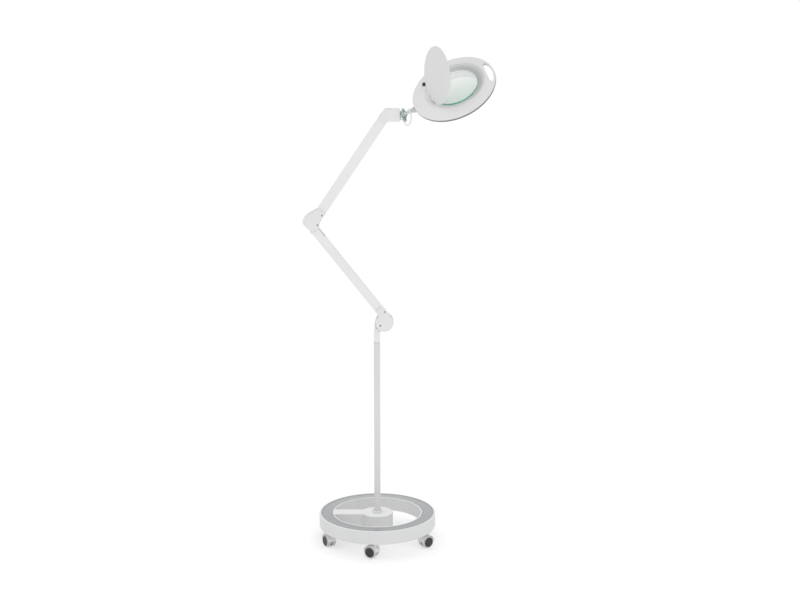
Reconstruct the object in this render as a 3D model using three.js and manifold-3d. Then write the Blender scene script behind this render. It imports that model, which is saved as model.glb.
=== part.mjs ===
// Magnifying floor lamp: ring base on twin-wheel casters, pole, two spring-balanced
// parallelogram arms, level wrist, pitching neck and a round lit magnifier head with a lid.
// Millimetres, +Z up. Origin on the floor under the pole axis; +X points to the head side.
import * as THREE from 'three';
import { mergeVertices } from 'three/addons/utils/BufferGeometryUtils.js';
import Module from 'manifold-3d';

const wasm = await Module();
wasm.setup();

// ---------------------------------------------------------------- driving dimensions
const RING_R = 172;            // base ring, outer radius
const RING_RI = 128.5;         // base ring, inner wall radius
const RING_Z0 = 46.5;            // underside of the ring
const RING_Z1 = 86.5;            // top of the ring
const WALL = 3;                // moulded wall
const TREAD_R0 = 133.3, TREAD_R1 = 165.7;
const HUB_R = 46;
const SPOKE_W = 43;
const COLLAR_R = 15.5;

const CASTER_PCR = 151;        // radius of the caster stems
const CASTER_AT = [-91.8, -27, 27, 88.2, 154.5, -154.5];   // angles of the stems, degrees: clear of the spoke
const WHEEL_R = 18;
const WHEEL_IN = 3, WHEEL_OUT = 14;   // inner and outer face of a wheel, from the caster's middle
const TRAIL = 11;
// direction from each stem to its wheels, degrees in plan
const CASTER_YAW = [152, 36, 30, 78, 165, 120];

const POLE_R = 9.5, POLE_RI = 8;
const POLE_Z0 = 55.1, POLE_Z1 = 603;

const A = [22.7, 662];         // lower arm's pivot on the knuckle (X, Z)
const LINK = 11.5;             // distance from an arm pivot to its link pivot
const LINK_LO = 36, LINK_UP = 131;    // directions of that offset, degrees from +X
const C1 = [-178.4, 934];      // lower arm's pivot on the elbow bracket
const D1 = [-169, 967.8];      // upper arm's pivot on the elbow bracket
const W1 = [28.5, 1260.5];     // upper arm's pivot on the wrist
const P = [78.3, 1264.5];      // neck pitch axis
const LOWER_LEAN = -38.3;      // lean of the lower channel from vertical
const UPPER_LEAN = 34;
const LOWER_W = 24.4, UPPER_W = 28.2; // channel widths
const CHEEK = 12;              // half depth of a channel
const SHEET = 1.2;
const LOWER_MID = [-175.6, 933.7];    // a point on the lower channel's midline
const UPPER_MID = [-136.4, 1020.6];   // a point on the upper channel's midline
const JOINT_C = [22.4, 664.5];  // middle of the lower joint's round covers
const JOINT_R = 26;
const PIN_R = 3, CLEAR = 0.3;

const PITCH = 25.1;            // neck above level, degrees
const ROLL = 35.2;             // head turned about the neck, degrees
const NECK_L = 157.3;          // pitch axis to head centre, along the neck
const NECK_N = 6.3;            // the neck's axis lies this far below the rim's plane
const HEAD_R = 123.5;
const LENS_U = 5.4;            // lens centre, from the head centre
const LENS_R = 67.4, LENS_TOP = 0.6, LENS_EDGE = 3;
const SAG_TOP = 5.2, SAG_UNDER = 9.6;
const SEAT_R = 86.8;           // shallow seat for the lid
const LID_R = 81.3, LID_T = 2.6, LID_OPEN = 59.2;
const HINGE = [-66.8, -15.6, 10.6];  // lid hinge, in the head's own frame
const HINGE_TURN = 9.8;        // the lid opens square to this direction, degrees
const LID_REACH = 77.3;        // hinge to the lid's centre
const SWITCH = [-71, 58];      // in the head's own plane
const SLOT_U = 100, SLOT_R = 118, SLOT_V = 45;

// ---------------------------------------------------------------- materials
const mat = (hex, roughness, metalness = 0, extra = {}) =>
  new THREE.MeshStandardMaterial({ color: hex, roughness, metalness, ...extra });
const WHITE = () => mat(0xe6e7e6, 0.42);
const PAINT = () => mat(0xe4e5e4, 0.36);
const STEEL = () => mat(0xa9adb0, 0.35, 0.9);
const IRON = () => mat(0x4a4c4e, 0.7, 0.6);
const GREY = () => mat(0xc2c4c6, 0.5);
const BLACK = () => mat(0x2a2826, 0.5);

// ---------------------------------------------------------------- helpers
const deg = Math.PI / 180;
const root = new THREE.Group();

function solid(geometry) {
  const g = geometry.clone();
  for (const k of Object.keys(g.attributes)) if (k !== 'position') g.deleteAttribute(k);
  const m = mergeVertices(g, 1e-4);
  const s = new wasm.Manifold(new wasm.Mesh({
    numProp: 3,
    vertProperties: new Float32Array(m.attributes.position.array),
    triVerts: new Uint32Array(m.index.array),
  }));
  return s;
}
function add(parent, name, man, material) {
  const out = man.getMesh();
  const g = new THREE.BufferGeometry();
  g.setAttribute('position', new THREE.BufferAttribute(new Float32Array(out.vertProperties), 3));
  g.setIndex(new THREE.BufferAttribute(new Uint32Array(out.triVerts), 1));
  const flat = g.toNonIndexed();
  flat.computeVertexNormals();
  const mesh = new THREE.Mesh(flat, material);
  mesh.name = name;
  parent.add(mesh);
  return mesh;
}
const all = (...list) => list.reduce((a, b) => a.add(b));

function box(x0, x1, y0, y1, z0, z1) {
  const g = new THREE.BoxGeometry(x1 - x0, y1 - y0, z1 - z0);
  g.translate((x0 + x1) / 2, (y0 + y1) / 2, (z0 + z1) / 2);
  return solid(g);
}
// a ring or disc of revolution whose profile points are [radius, height, centre x]
function turned(profile, seg, phase = 0) {
  const pts = profile.map(([r, z, cx = 0]) => [r, z, cx]);
  const n = pts.length, pos = [], idx = [], start = [];
  for (const [r, z, cx] of pts) {
    start.push(pos.length / 3);
    if (r < 1e-6) pos.push(cx, 0, z);
    else for (let j = 0; j < seg; j++) {
      const t = phase + (2 * Math.PI * j) / seg;
      pos.push(cx + r * Math.cos(t), r * Math.sin(t), z);
    }
  }
  for (let i = 0; i < n; i++) {
    const k = (i + 1) % n, ai = pts[i][0] < 1e-6, ak = pts[k][0] < 1e-6;
    if (ai && ak) continue;
    for (let j = 0; j < seg; j++) {
      const j2 = (j + 1) % seg;
      const a = start[i] + (ai ? 0 : j), b = start[i] + (ai ? 0 : j2);
      const c = start[k] + (ak ? 0 : j), d = start[k] + (ak ? 0 : j2);
      if (!ai) idx.push(a, b, d);
      if (!ak) idx.push(a, d, c);
    }
  }
  let v = 0;
  const p = (q) => [pos[3 * q], pos[3 * q + 1], pos[3 * q + 2]];
  for (let q = 0; q < idx.length; q += 3) {
    const [a, b, c] = [p(idx[q]), p(idx[q + 1]), p(idx[q + 2])];
    v += a[0] * (b[1] * c[2] - b[2] * c[1]) - a[1] * (b[0] * c[2] - b[2] * c[0]) + a[2] * (b[0] * c[1] - b[1] * c[0]);
  }
  if (v < 0) for (let q = 0; q < idx.length; q += 3) [idx[q + 1], idx[q + 2]] = [idx[q + 2], idx[q + 1]];
  const g = new THREE.BufferGeometry();
  g.setAttribute('position', new THREE.BufferAttribute(new Float32Array(pos), 3));
  g.setIndex(idx);
  return solid(g);
}
// cylinder between two points
function rod(r, p, q, seg = 16) {
  const a = new THREE.Vector3(...p), b = new THREE.Vector3(...q);
  const g = new THREE.CylinderGeometry(r, r, a.distanceTo(b), seg);
  g.applyQuaternion(new THREE.Quaternion().setFromUnitVectors(new THREE.Vector3(0, 1, 0), b.clone().sub(a).normalize()));
  g.translate((a.x + b.x) / 2, (a.y + b.y) / 2, (a.z + b.z) / 2);
  return solid(g);
}
const rodY = (r, [x, z], y0, y1, seg = 16) => rod(r, [x, y0, z], [x, y1, z], seg);
function area(pts) {
  let s = 0;
  for (let i = 0; i < pts.length; i++) { const [a, b] = pts[i], [c, d] = pts[(i + 1) % pts.length]; s += a * d - c * b; }
  return s / 2;
}
// outline in plan, raised from z0 to z1
function plate(pts, z0, z1) {
  const q = area(pts) < 0 ? [...pts].reverse() : pts;
  const g = new THREE.ExtrudeGeometry(new THREE.Shape(q.map(([x, y]) => new THREE.Vector2(x, y))), { depth: z1 - z0, bevelEnabled: false, steps: 1 });
  g.translate(0, 0, z0);
  return solid(g);
}
// outline in X and Z, from y0 to y1
function cheek(pts, y0, y1) {
  const g0 = area(pts) < 0 ? [...pts].reverse() : pts;
  const g = new THREE.ExtrudeGeometry(new THREE.Shape(g0.map(([x, z]) => new THREE.Vector2(x, z))), { depth: y1 - y0, bevelEnabled: false, steps: 1 });
  g.rotateX(Math.PI / 2);          // (x, z) stays, depth runs along -Y
  g.translate(0, y1, 0);
  return solid(g);
}
const arc = (cx, cz, r, a0, a1, n) => Array.from({ length: n + 1 }, (_, i) => {
  const t = (a0 + ((a1 - a0) * i) / n) * deg;
  return [cx + r * Math.cos(t), cz + r * Math.sin(t)];
});
const circle = (cx, cz, r, n) => arc(cx, cz, r, 0, 360 - 360 / n, n - 1);
// convex outline around circles [x, z, r]
function around(circles, n = 20) {
  const pts = circles.flatMap(([x, z, r]) => circle(x, z, r, n)).sort((p, q) => p[0] - q[0] || p[1] - q[1]);
  const cross = (o, p, q) => (p[0] - o[0]) * (q[1] - o[1]) - (p[1] - o[1]) * (q[0] - o[0]);
  const half = (list) => list.reduce((h, p) => {
    while (h.length > 1 && cross(h[h.length - 2], h[h.length - 1], p) <= 1e-9) h.pop();
    h.push(p);
    return h;
  }, []);
  const lo = half(pts), hi = half([...pts].reverse());
  return [...lo.slice(0, -1), ...hi.slice(0, -1)];
}
const polar = ([x, z], r, a) => [x + r * Math.cos(a * deg), z + r * Math.sin(a * deg)];
// frame of a leaning channel: s runs up the channel, p runs to its right
function lean(mid, angle) {
  const d = [Math.sin(angle * deg), Math.cos(angle * deg)], r = [Math.cos(angle * deg), -Math.sin(angle * deg)];
  return {
    at: (s, p) => [mid[0] + d[0] * s + r[0] * p, mid[1] + d[1] * s + r[1] * p],
    s: ([x, z]) => (x - mid[0]) * d[0] + (z - mid[1]) * d[1],
    p: ([x, z]) => (x - mid[0]) * r[0] + (z - mid[1]) * r[1],
  };
}

// ---------------------------------------------------------------- base
const SEG = 48;
{
  const ring = turned([
    [RING_R - 4, RING_Z0], [RING_R - 1.2, RING_Z0 + 1.6], [RING_R, RING_Z0 + 5], [RING_R, RING_Z1 - 1],
    [RING_R - 1, RING_Z1], [166.2, RING_Z1], [166.2, RING_Z1 - 4], [132.8, RING_Z1 - 2.4], [132.8, RING_Z1],
    [RING_RI + 0.8, RING_Z1], [RING_RI, RING_Z1 - 1], [RING_RI, RING_Z0 + 3], [RING_RI + 1.5, RING_Z0],
  ], SEG);
  const hub = turned([[0, RING_Z0], [HUB_R - 2, RING_Z0], [HUB_R, RING_Z0 + 3], [HUB_R, RING_Z1 - 1.2], [HUB_R - 1.2, RING_Z1], [0, RING_Z1]], 32);
  const spoke = box(-(RING_RI + 1), -30, -SPOKE_W / 2, SPOKE_W / 2, RING_Z0, RING_Z1);
  const ringHollow = turned([[RING_RI + WALL, RING_Z0 - 1], [RING_R - WALL, RING_Z0 - 1], [RING_R - WALL, RING_Z1 - 7], [RING_RI + WALL, RING_Z1 - 5.4]], SEG);
  const hubHollow = turned([[0, RING_Z0 - 1], [HUB_R - WALL, RING_Z0 - 1], [HUB_R - WALL, RING_Z1 - WALL], [0, RING_Z1 - WALL]], 32);
  const spokeHollow = box(-(RING_RI + 6), -30, -SPOKE_W / 2 + WALL, SPOKE_W / 2 - WALL, RING_Z0 - 1, RING_Z1 - 5.4);
  const bore = rod(POLE_R + CLEAR, [0, 0, RING_Z1 - 10], [0, 0, RING_Z1 + 5], 24);
  add(root, 'base_cover', all(ring, hub, spoke).subtract(ringHollow).subtract(hubHollow).subtract(spokeHollow).subtract(bore), WHITE());
}
add(root, 'base_tread_ring', turned([
  [TREAD_R0, RING_Z1 - 2.1], [TREAD_R0, RING_Z1 - 0.3], [TREAD_R1, RING_Z1 - 1.8], [TREAD_R1, RING_Z1 - 3.6],
], SEG), mat(0xa7abae, 0.16));

const stems = CASTER_AT.map((a) => {
  const t = a * deg;
  return [CASTER_PCR * Math.cos(t), CASTER_PCR * Math.sin(t)];
});
{
  let ballast = turned([[134, 50.9], [166.4, 50.9], [166.4, 77.5], [134, 77.5]], 32);
  let ring = turned([[RING_RI + WALL + 0.5, 47.5], [RING_R - WALL - 0.5, 47.5], [RING_R - WALL - 0.5, 50.1], [RING_RI + WALL + 0.5, 50.1]], 36);
  const hub = turned([[0, 47.5], [HUB_R - WALL - 0.5, 47.5], [HUB_R - WALL - 0.5, 50.1], [0, 50.1]], 24);
  const spoke = box(-(RING_RI + 8), -30, -SPOKE_W / 2 + WALL + 0.5, SPOKE_W / 2 - WALL - 0.5, 47.5, 50.1);
  let bottom = all(ring, hub, spoke);
  for (const [x, y] of stems) {
    ballast = ballast.subtract(rod(4.6, [x, y, 40], [x, y, 80], 12));
    bottom = bottom.subtract(rod(4.6, [x, y, 40], [x, y, 60], 12));
  }
  add(root, 'base_ballast_ring', ballast, IRON());
  add(root, 'base_bottom_plate', bottom, STEEL());
}
add(root, 'hub_socket', turned([
  [0, 50.5], [27, 50.5], [27, 53.9], [13.4, 55.1], [13.4, 82.9], [POLE_R + CLEAR, 82.9], [POLE_R + CLEAR, 54.7], [0, 54.7],
], 20), STEEL());
add(root, 'hub_collar', turned([
  [POLE_R + CLEAR, RING_Z1 + 0.4], [COLLAR_R, RING_Z1 + 0.4], [COLLAR_R, RING_Z1 + 3], [COLLAR_R - 2, RING_Z1 + 6], [POLE_R + CLEAR, RING_Z1 + 6],
], 24), WHITE());

// ---------------------------------------------------------------- casters
stems.forEach(([x, y], i) => {
  const g = new THREE.Group();
  g.position.set(x, y, 0);
  g.rotation.z = CASTER_YAW[i] * deg;
  root.add(g);
  const c = [TRAIL, WHEEL_R];
  const skin = cheek([...arc(...c, WHEEL_R + 2.9, 8, 172, 9), ...arc(...c, WHEEL_R + 1.1, 172, 8, 9)], -13.4, 13.4);
  const core = cheek([...arc(...c, WHEEL_R + 2.9, 8, 172, 9), ...arc(...c, 13, 188, 352, 6)], -2.6, 2.6);
  const stem = all(rod(5.4, [0, 0, 35.8], [0, 0, 45.9], 12), rod(4, [0, 0, 45.5], [0, 0, 62.5], 12));
  add(g, `caster_${i + 1}_housing`, all(core, skin, stem, rodY(1.8, c, -12, 12, 8)).subtract(box(-8, 30, -14, 14, -5, 3)), GREY());
  const profile = [
    [0, WHEEL_OUT], [WHEEL_R - 1.2, WHEEL_OUT], [WHEEL_R, WHEEL_OUT - 1.4],
    [WHEEL_R, WHEEL_IN + 1.4], [WHEEL_R - 1.2, WHEEL_IN], [2.1, WHEEL_IN], [2.1, 12.3], [0, 12.3],
  ];
  for (const [side, s] of [['left', 1], ['right', -1]]) {
    const w = new THREE.Group();
    w.position.set(c[0], 0, c[1]);
    w.rotation.x = -s * 90 * deg;
    g.add(w);
    add(w, `caster_${i + 1}_wheel_${side}`, turned(profile, 16), BLACK());
  }
});

// ---------------------------------------------------------------- pole
add(root, 'pole_tube', turned([[POLE_RI, POLE_Z0], [POLE_R, POLE_Z0], [POLE_R, POLE_Z1], [POLE_RI, POLE_Z1]], 24), PAINT());
add(root, 'pole_top_bush', turned([
  [5.3, 566], [POLE_RI - CLEAR, 566], [POLE_RI - CLEAR, POLE_Z1 + 0.3], [POLE_R, POLE_Z1 + 0.3], [POLE_R, POLE_Z1 + 2.6], [5.3, POLE_Z1 + 2.6],
], 24), mat(0xd8d8d6, 0.5));

// ---------------------------------------------------------------- knuckle
const B = polar(A, LINK, LINK_LO);
{
  const stem = turned([[0, 568], [5, 568], [5, POLE_Z1 + 2.9], [POLE_R, POLE_Z1 + 2.9], [POLE_R, 630], [0, 630]], 24);
  const neck = cheek([[-9.3, 626], [-8.4, 640], [-6.1, 664], [-2.6, 677], [2.3, 685.4], [8, 688], [14, 683], [18, 668], [16, 648], [9.3, 634], [9.3, 626]], -5.2, 5.2);
  const root1 = cheek([[-9.3, 622], [-8.8, 636], [-2, 648], [6, 646], [9.3, 636], [9.3, 622]], -8.2, 8.2);
  const eye = cheek(around([[...A, 13], [...B, 5], [8, 668, 10]]), -5.2, 5.2);
  const pin = rodY(2, B, 4, 9.4, 12);
  add(root, 'knuckle_bracket', all(stem, neck, root1, eye, pin).subtract(rodY(PIN_R + CLEAR, A, -20, 20)), WHITE());
  add(root, 'lower_pivot_bolt', rodY(PIN_R, A, -12.1, 12.1), STEEL());
  add(root, 'cord_grommet', rod(4.6, [0, 10.1, 618], [0, 13.4, 618], 14), BLACK());
}

// ---------------------------------------------------------------- arms
const lo = lean(LOWER_MID, LOWER_LEAN), up = lean(UPPER_MID, UPPER_LEAN);
const hw = LOWER_W / 2, uw = UPPER_W / 2;
{
  // open on its left, underneath; web on its right, on top
  const sA = lo.s(A), sC = lo.s(C1);
  const strip = cheek([lo.at(sA, -hw), lo.at(sC, -hw), lo.at(sC, hw), lo.at(sA, hw)], -CHEEK, CHEEK);
  const eyes = all(cheek(circle(...A, 22, 28), -CHEEK, CHEEK), cheek(around([[...C1, 12.6], [...lo.at(sC, 1), 12.2]]), -CHEEK, CHEEK));
  const hollow = cheek([lo.at(sA - 40, -60), lo.at(sC + 40, -60), lo.at(sC + 40, hw - SHEET), lo.at(sA - 40, hw - SHEET)], -CHEEK + SHEET, CHEEK - SHEET);
  const webEnd = cheek([lo.at(sC - 34, -60), lo.at(sC + 40, -60), lo.at(sC + 40, 60), lo.at(sC - 34, 60)], -CHEEK + SHEET, CHEEK - SHEET);
  const webFoot = cheek([lo.at(sA - 40, -60), lo.at(sA + 4, -60), lo.at(sA + 4, 60), lo.at(sA - 40, 60)], -CHEEK + SHEET, CHEEK - SHEET);
  const tie = rodY(2, lo.at(sA + 300, -2), -CHEEK + 0.4, CHEEK - 0.4, 10);
  add(root, 'lower_arm_channel', all(strip, eyes).subtract(hollow).subtract(webEnd).subtract(webFoot).add(tie)
    .subtract(rodY(PIN_R + CLEAR, A, -20, 20)).subtract(rodY(PIN_R + CLEAR, C1, -20, 20)), PAINT());
  const cover = around([[...JOINT_C, JOINT_R]], 36);
  const shell = (y0, y1) => cheek(cover, y0, y1).add(cheek([lo.at(sA, hw), lo.at(sA + 42, hw), lo.at(sA + 46, hw - 4), lo.at(sA + 46, -hw + 4), lo.at(sA + 42, -hw), lo.at(sA, -hw)], y0, y1));
  add(root, 'lower_joint_cover_front', shell(-CHEEK - 3.3, -CHEEK - 0.3), WHITE());
  add(root, 'lower_joint_cover_back', shell(CHEEK + 0.3, CHEEK + 3.3), WHITE());
  const B2 = polar(C1, LINK, LINK_LO);
  const bar = cheek(around([[...B, 2.2], [...B2, 2.2]], 12), 5.9, 8.7);
  add(root, 'lower_arm_link', all(bar, cheek(circle(...B, 4.4, 16), 5.9, 8.7), cheek(circle(...B2, 4.4, 16), 5.9, 8.7))
    .subtract(rodY(2.3, B, 0, 20, 12)).subtract(rodY(2.3, B2, 0, 20, 12)), STEEL());
  const f = (s, p, y) => { const q = lo.at(s, p); return [q[0], y, q[1]]; };
  add(root, 'lower_arm_spring', rod(4.6, f(sA + 74, -3, -4.4), f(sA + 286, -3, -4.4), 10).add(rod(1, f(sA + 60, -3, -4.4), f(sA + 75, -3, -4.4), 8)).add(rod(1, f(sA + 285, -3, -4.4), f(sA + 297, -3, -4.4), 8)), STEEL());
}
const C2 = polar(C1, LINK, LINK_LO), D2 = polar(D1, LINK, LINK_UP), W2 = polar(W1, LINK, LINK_UP);
{
  // elbow bracket keeps upright; both arms hinge on it
  const body = cheek(around([[...C1, 8], [...C2, 4.4], [...D1, 8], [...D2, 4.4]]), -5.2, 5.2);
  add(root, 'elbow_bracket', all(body, rodY(2, C2, 4, 9.4, 12), rodY(2, D2, 4, 9.4, 12))
    .subtract(rodY(PIN_R + CLEAR, C1, -20, 20)).subtract(rodY(PIN_R + CLEAR, D1, -20, 20)), WHITE());
  add(root, 'elbow_bolt_lower', rodY(PIN_R, C1, -12.1, 12.1), STEEL());
  add(root, 'elbow_bolt_upper', rodY(PIN_R, D1, -12.1, 12.1), STEEL());
  const outline = [
    [-204.3, 946.6], [-208.3, 951], [-211.2, 957], [-210, 964.9], [-205, 972], [-196.6, 980.3], [-185.9, 986.4], [-176.9, 991.7], [-167.2, 998],
    [-146.5, 984], [-156, 967.6], [-161.8, 959.8], [-165.2, 953], [-164.5, 946], [-169, 938], [-185.2, 929],
  ];
  add(root, 'elbow_cover_front', cheek(outline, -CHEEK - 3.3, -CHEEK - 0.3), WHITE());
  add(root, 'elbow_cover_back', cheek(outline, CHEEK + 0.3, CHEEK + 3.3), WHITE());
}
{
  // open on its right, underneath; web on its left, on top
  const sD = up.s(D1), sW = up.s(W1);
  const strip = cheek([up.at(sD, -uw), up.at(sW, -uw), up.at(sW, uw), up.at(sD, uw)], -CHEEK, CHEEK);
  const eyes = all(cheek(around([[...D1, 12.4], [...up.at(sD, -1), 11.6]]), -CHEEK, CHEEK), cheek(around([[...W1, 12.6], [...up.at(sW, -1), 11.6]]), -CHEEK, CHEEK));
  const hollow = cheek([up.at(sD - 40, -uw + SHEET), up.at(sW + 40, -uw + SHEET), up.at(sW + 40, 60), up.at(sD - 40, 60)], -CHEEK + SHEET, CHEEK - SHEET);
  const end = (s0, s1) => cheek([up.at(s0, -60), up.at(s1, -60), up.at(s1, 60), up.at(s0, 60)], -CHEEK + SHEET, CHEEK - SHEET);
  const tie = rodY(2, up.at(sD + 320, 2), -CHEEK + 0.4, CHEEK - 0.4, 10);
  add(root, 'upper_arm_channel', all(strip, eyes).subtract(hollow).subtract(end(sD - 40, sD + 14)).subtract(end(sW - 14, sW + 40)).add(tie)
    .subtract(rodY(PIN_R + CLEAR, D1, -20, 20)).subtract(rodY(PIN_R + CLEAR, W1, -20, 20)), PAINT());
  const bar = cheek(around([[...D2, 2.2], [...W2, 2.2]], 12), 5.9, 8.7);
  add(root, 'upper_arm_link', all(bar, cheek(circle(...D2, 4.4, 16), 5.9, 8.7), cheek(circle(...W2, 4.4, 16), 5.9, 8.7))
    .subtract(rodY(2.3, D2, 0, 20, 12)).subtract(rodY(2.3, W2, 0, 20, 12)), STEEL());
  const f = (s, p, y) => { const q = up.at(s, p); return [q[0], y, q[1]]; };
  add(root, 'upper_arm_spring', rod(4.6, f(sD + 74, 3, -4.4), f(sD + 306, 3, -4.4), 10).add(rod(1, f(sD + 60, 3, -4.4), f(sD + 75, 3, -4.4), 8)).add(rod(1, f(sD + 305, 3, -4.4), f(sD + 317, 3, -4.4), 8)), STEEL());
}

// ---------------------------------------------------------------- wrist
{
  const block = box(44.5, 67, -CHEEK, CHEEK, 1244.7, 1280.4).add(rod(3.4, [66, 0, 1250.6], [71.3, 0, 1250.6], 12));
  const tongue = cheek(around([[...W1, 8], [...W2, 4.4], [46, 1258, 4], [46, 1272, 4]]), -5.2, 5.2);
  const ears = cheek(around([[...P, 9], [64, P[1], 9]]), -9, 9).subtract(cheek(around([[...P, 9.5], [90, P[1], 12]]), -4.9, 4.9));
  add(root, 'wrist_block', all(block, tongue, ears, rodY(2, W2, 4, 9.4, 12))
    .subtract(rodY(PIN_R + CLEAR, W1, -20, 20)).subtract(rodY(PIN_R + CLEAR, P, -20, 20)), WHITE());
  add(root, 'wrist_pivot_bolt', rodY(PIN_R, W1, -12.1, 12.1), STEEL());
  const outline = [[66.9, 1244.5], [66.9, 1280.4], [26, 1280.4], [21.5, 1277], [7, 1256.6], [8, 1251.8], [23, 1241], [27.5, 1239.8], [31.5, 1242.6], [36, 1244.5]];
  add(root, 'wrist_cover_front', cheek(outline, -CHEEK - 3.3, -CHEEK - 0.3), WHITE());
  add(root, 'wrist_cover_back', cheek(outline, CHEEK + 0.3, CHEEK + 3.3), WHITE());
  const wings = all(
    cheek([[P[0] - 5, P[1] + 4], [P[0] - 4.4, P[1] + 19.3], [P[0] - 1.5, P[1] + 19.5], [P[0] + 6, P[1] + 5]], -22, -17.4),
    cheek([[P[0] + 5, P[1] - 4], [P[0] + 5.6, P[1] - 19.3], [P[0] + 2.4, P[1] - 19.5], [P[0] - 6, P[1] - 5]], -22, -17.4));
  add(root, 'wing_bolt', all(rodY(9.6, P, -17.6, -9.4, 24), rodY(8.2, P, -23, -17.4, 20), rodY(PIN_R, P, -10, 11.6), wings), mat(0x8f9a9a, 0.12, 1));
}

// ---------------------------------------------------------------- neck and its lead
const neck = new THREE.Group();              // x runs out along the neck
neck.position.set(P[0], 0, P[1]);
neck.rotation.y = -PITCH * deg;
root.add(neck);
{
  const eye = cheek(circle(0, 0, 8.4, 20), -4.6, 4.6).subtract(rodY(PIN_R + CLEAR, [0, 0], -20, 20));
  add(neck, 'neck_rod', all(eye, rod(4.9, [5.5, 0, 0], [14, 0, 0], 16), rod(8, [13.9, 0, 0], [21.9, 0, 0], 20), rod(3, [21, 0, 0], [27.2, 0, 0], 12))
    .subtract(rodY(PIN_R + CLEAR, [0, 0], -20, 20)), WHITE());
}
{
  const curve = new THREE.CatmullRomCurve3([
    [72.7, 0, 1250.3], [76, 0, 1247.4], [80, 0, 1240.6], [84, 0, 1235], [88.6, 0, 1233.2], [93, 0, 1235.2],
    [96.2, 0, 1240.4], [98.4, 0, 1248], [99.2, 0, 1256.4], [98.6, 0, 1264.2],
  ].map((p) => new THREE.Vector3(...p)), false, 'centripetal');
  const section = new THREE.Shape(circle(0, 0, 1.9, 8).map(([x, y]) => new THREE.Vector2(x, y)));
  const g = new THREE.ExtrudeGeometry(section, { steps: 18, bevelEnabled: false, extrudePath: curve });
  add(root, 'neck_cable', solid(g), WHITE());
}

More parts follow.
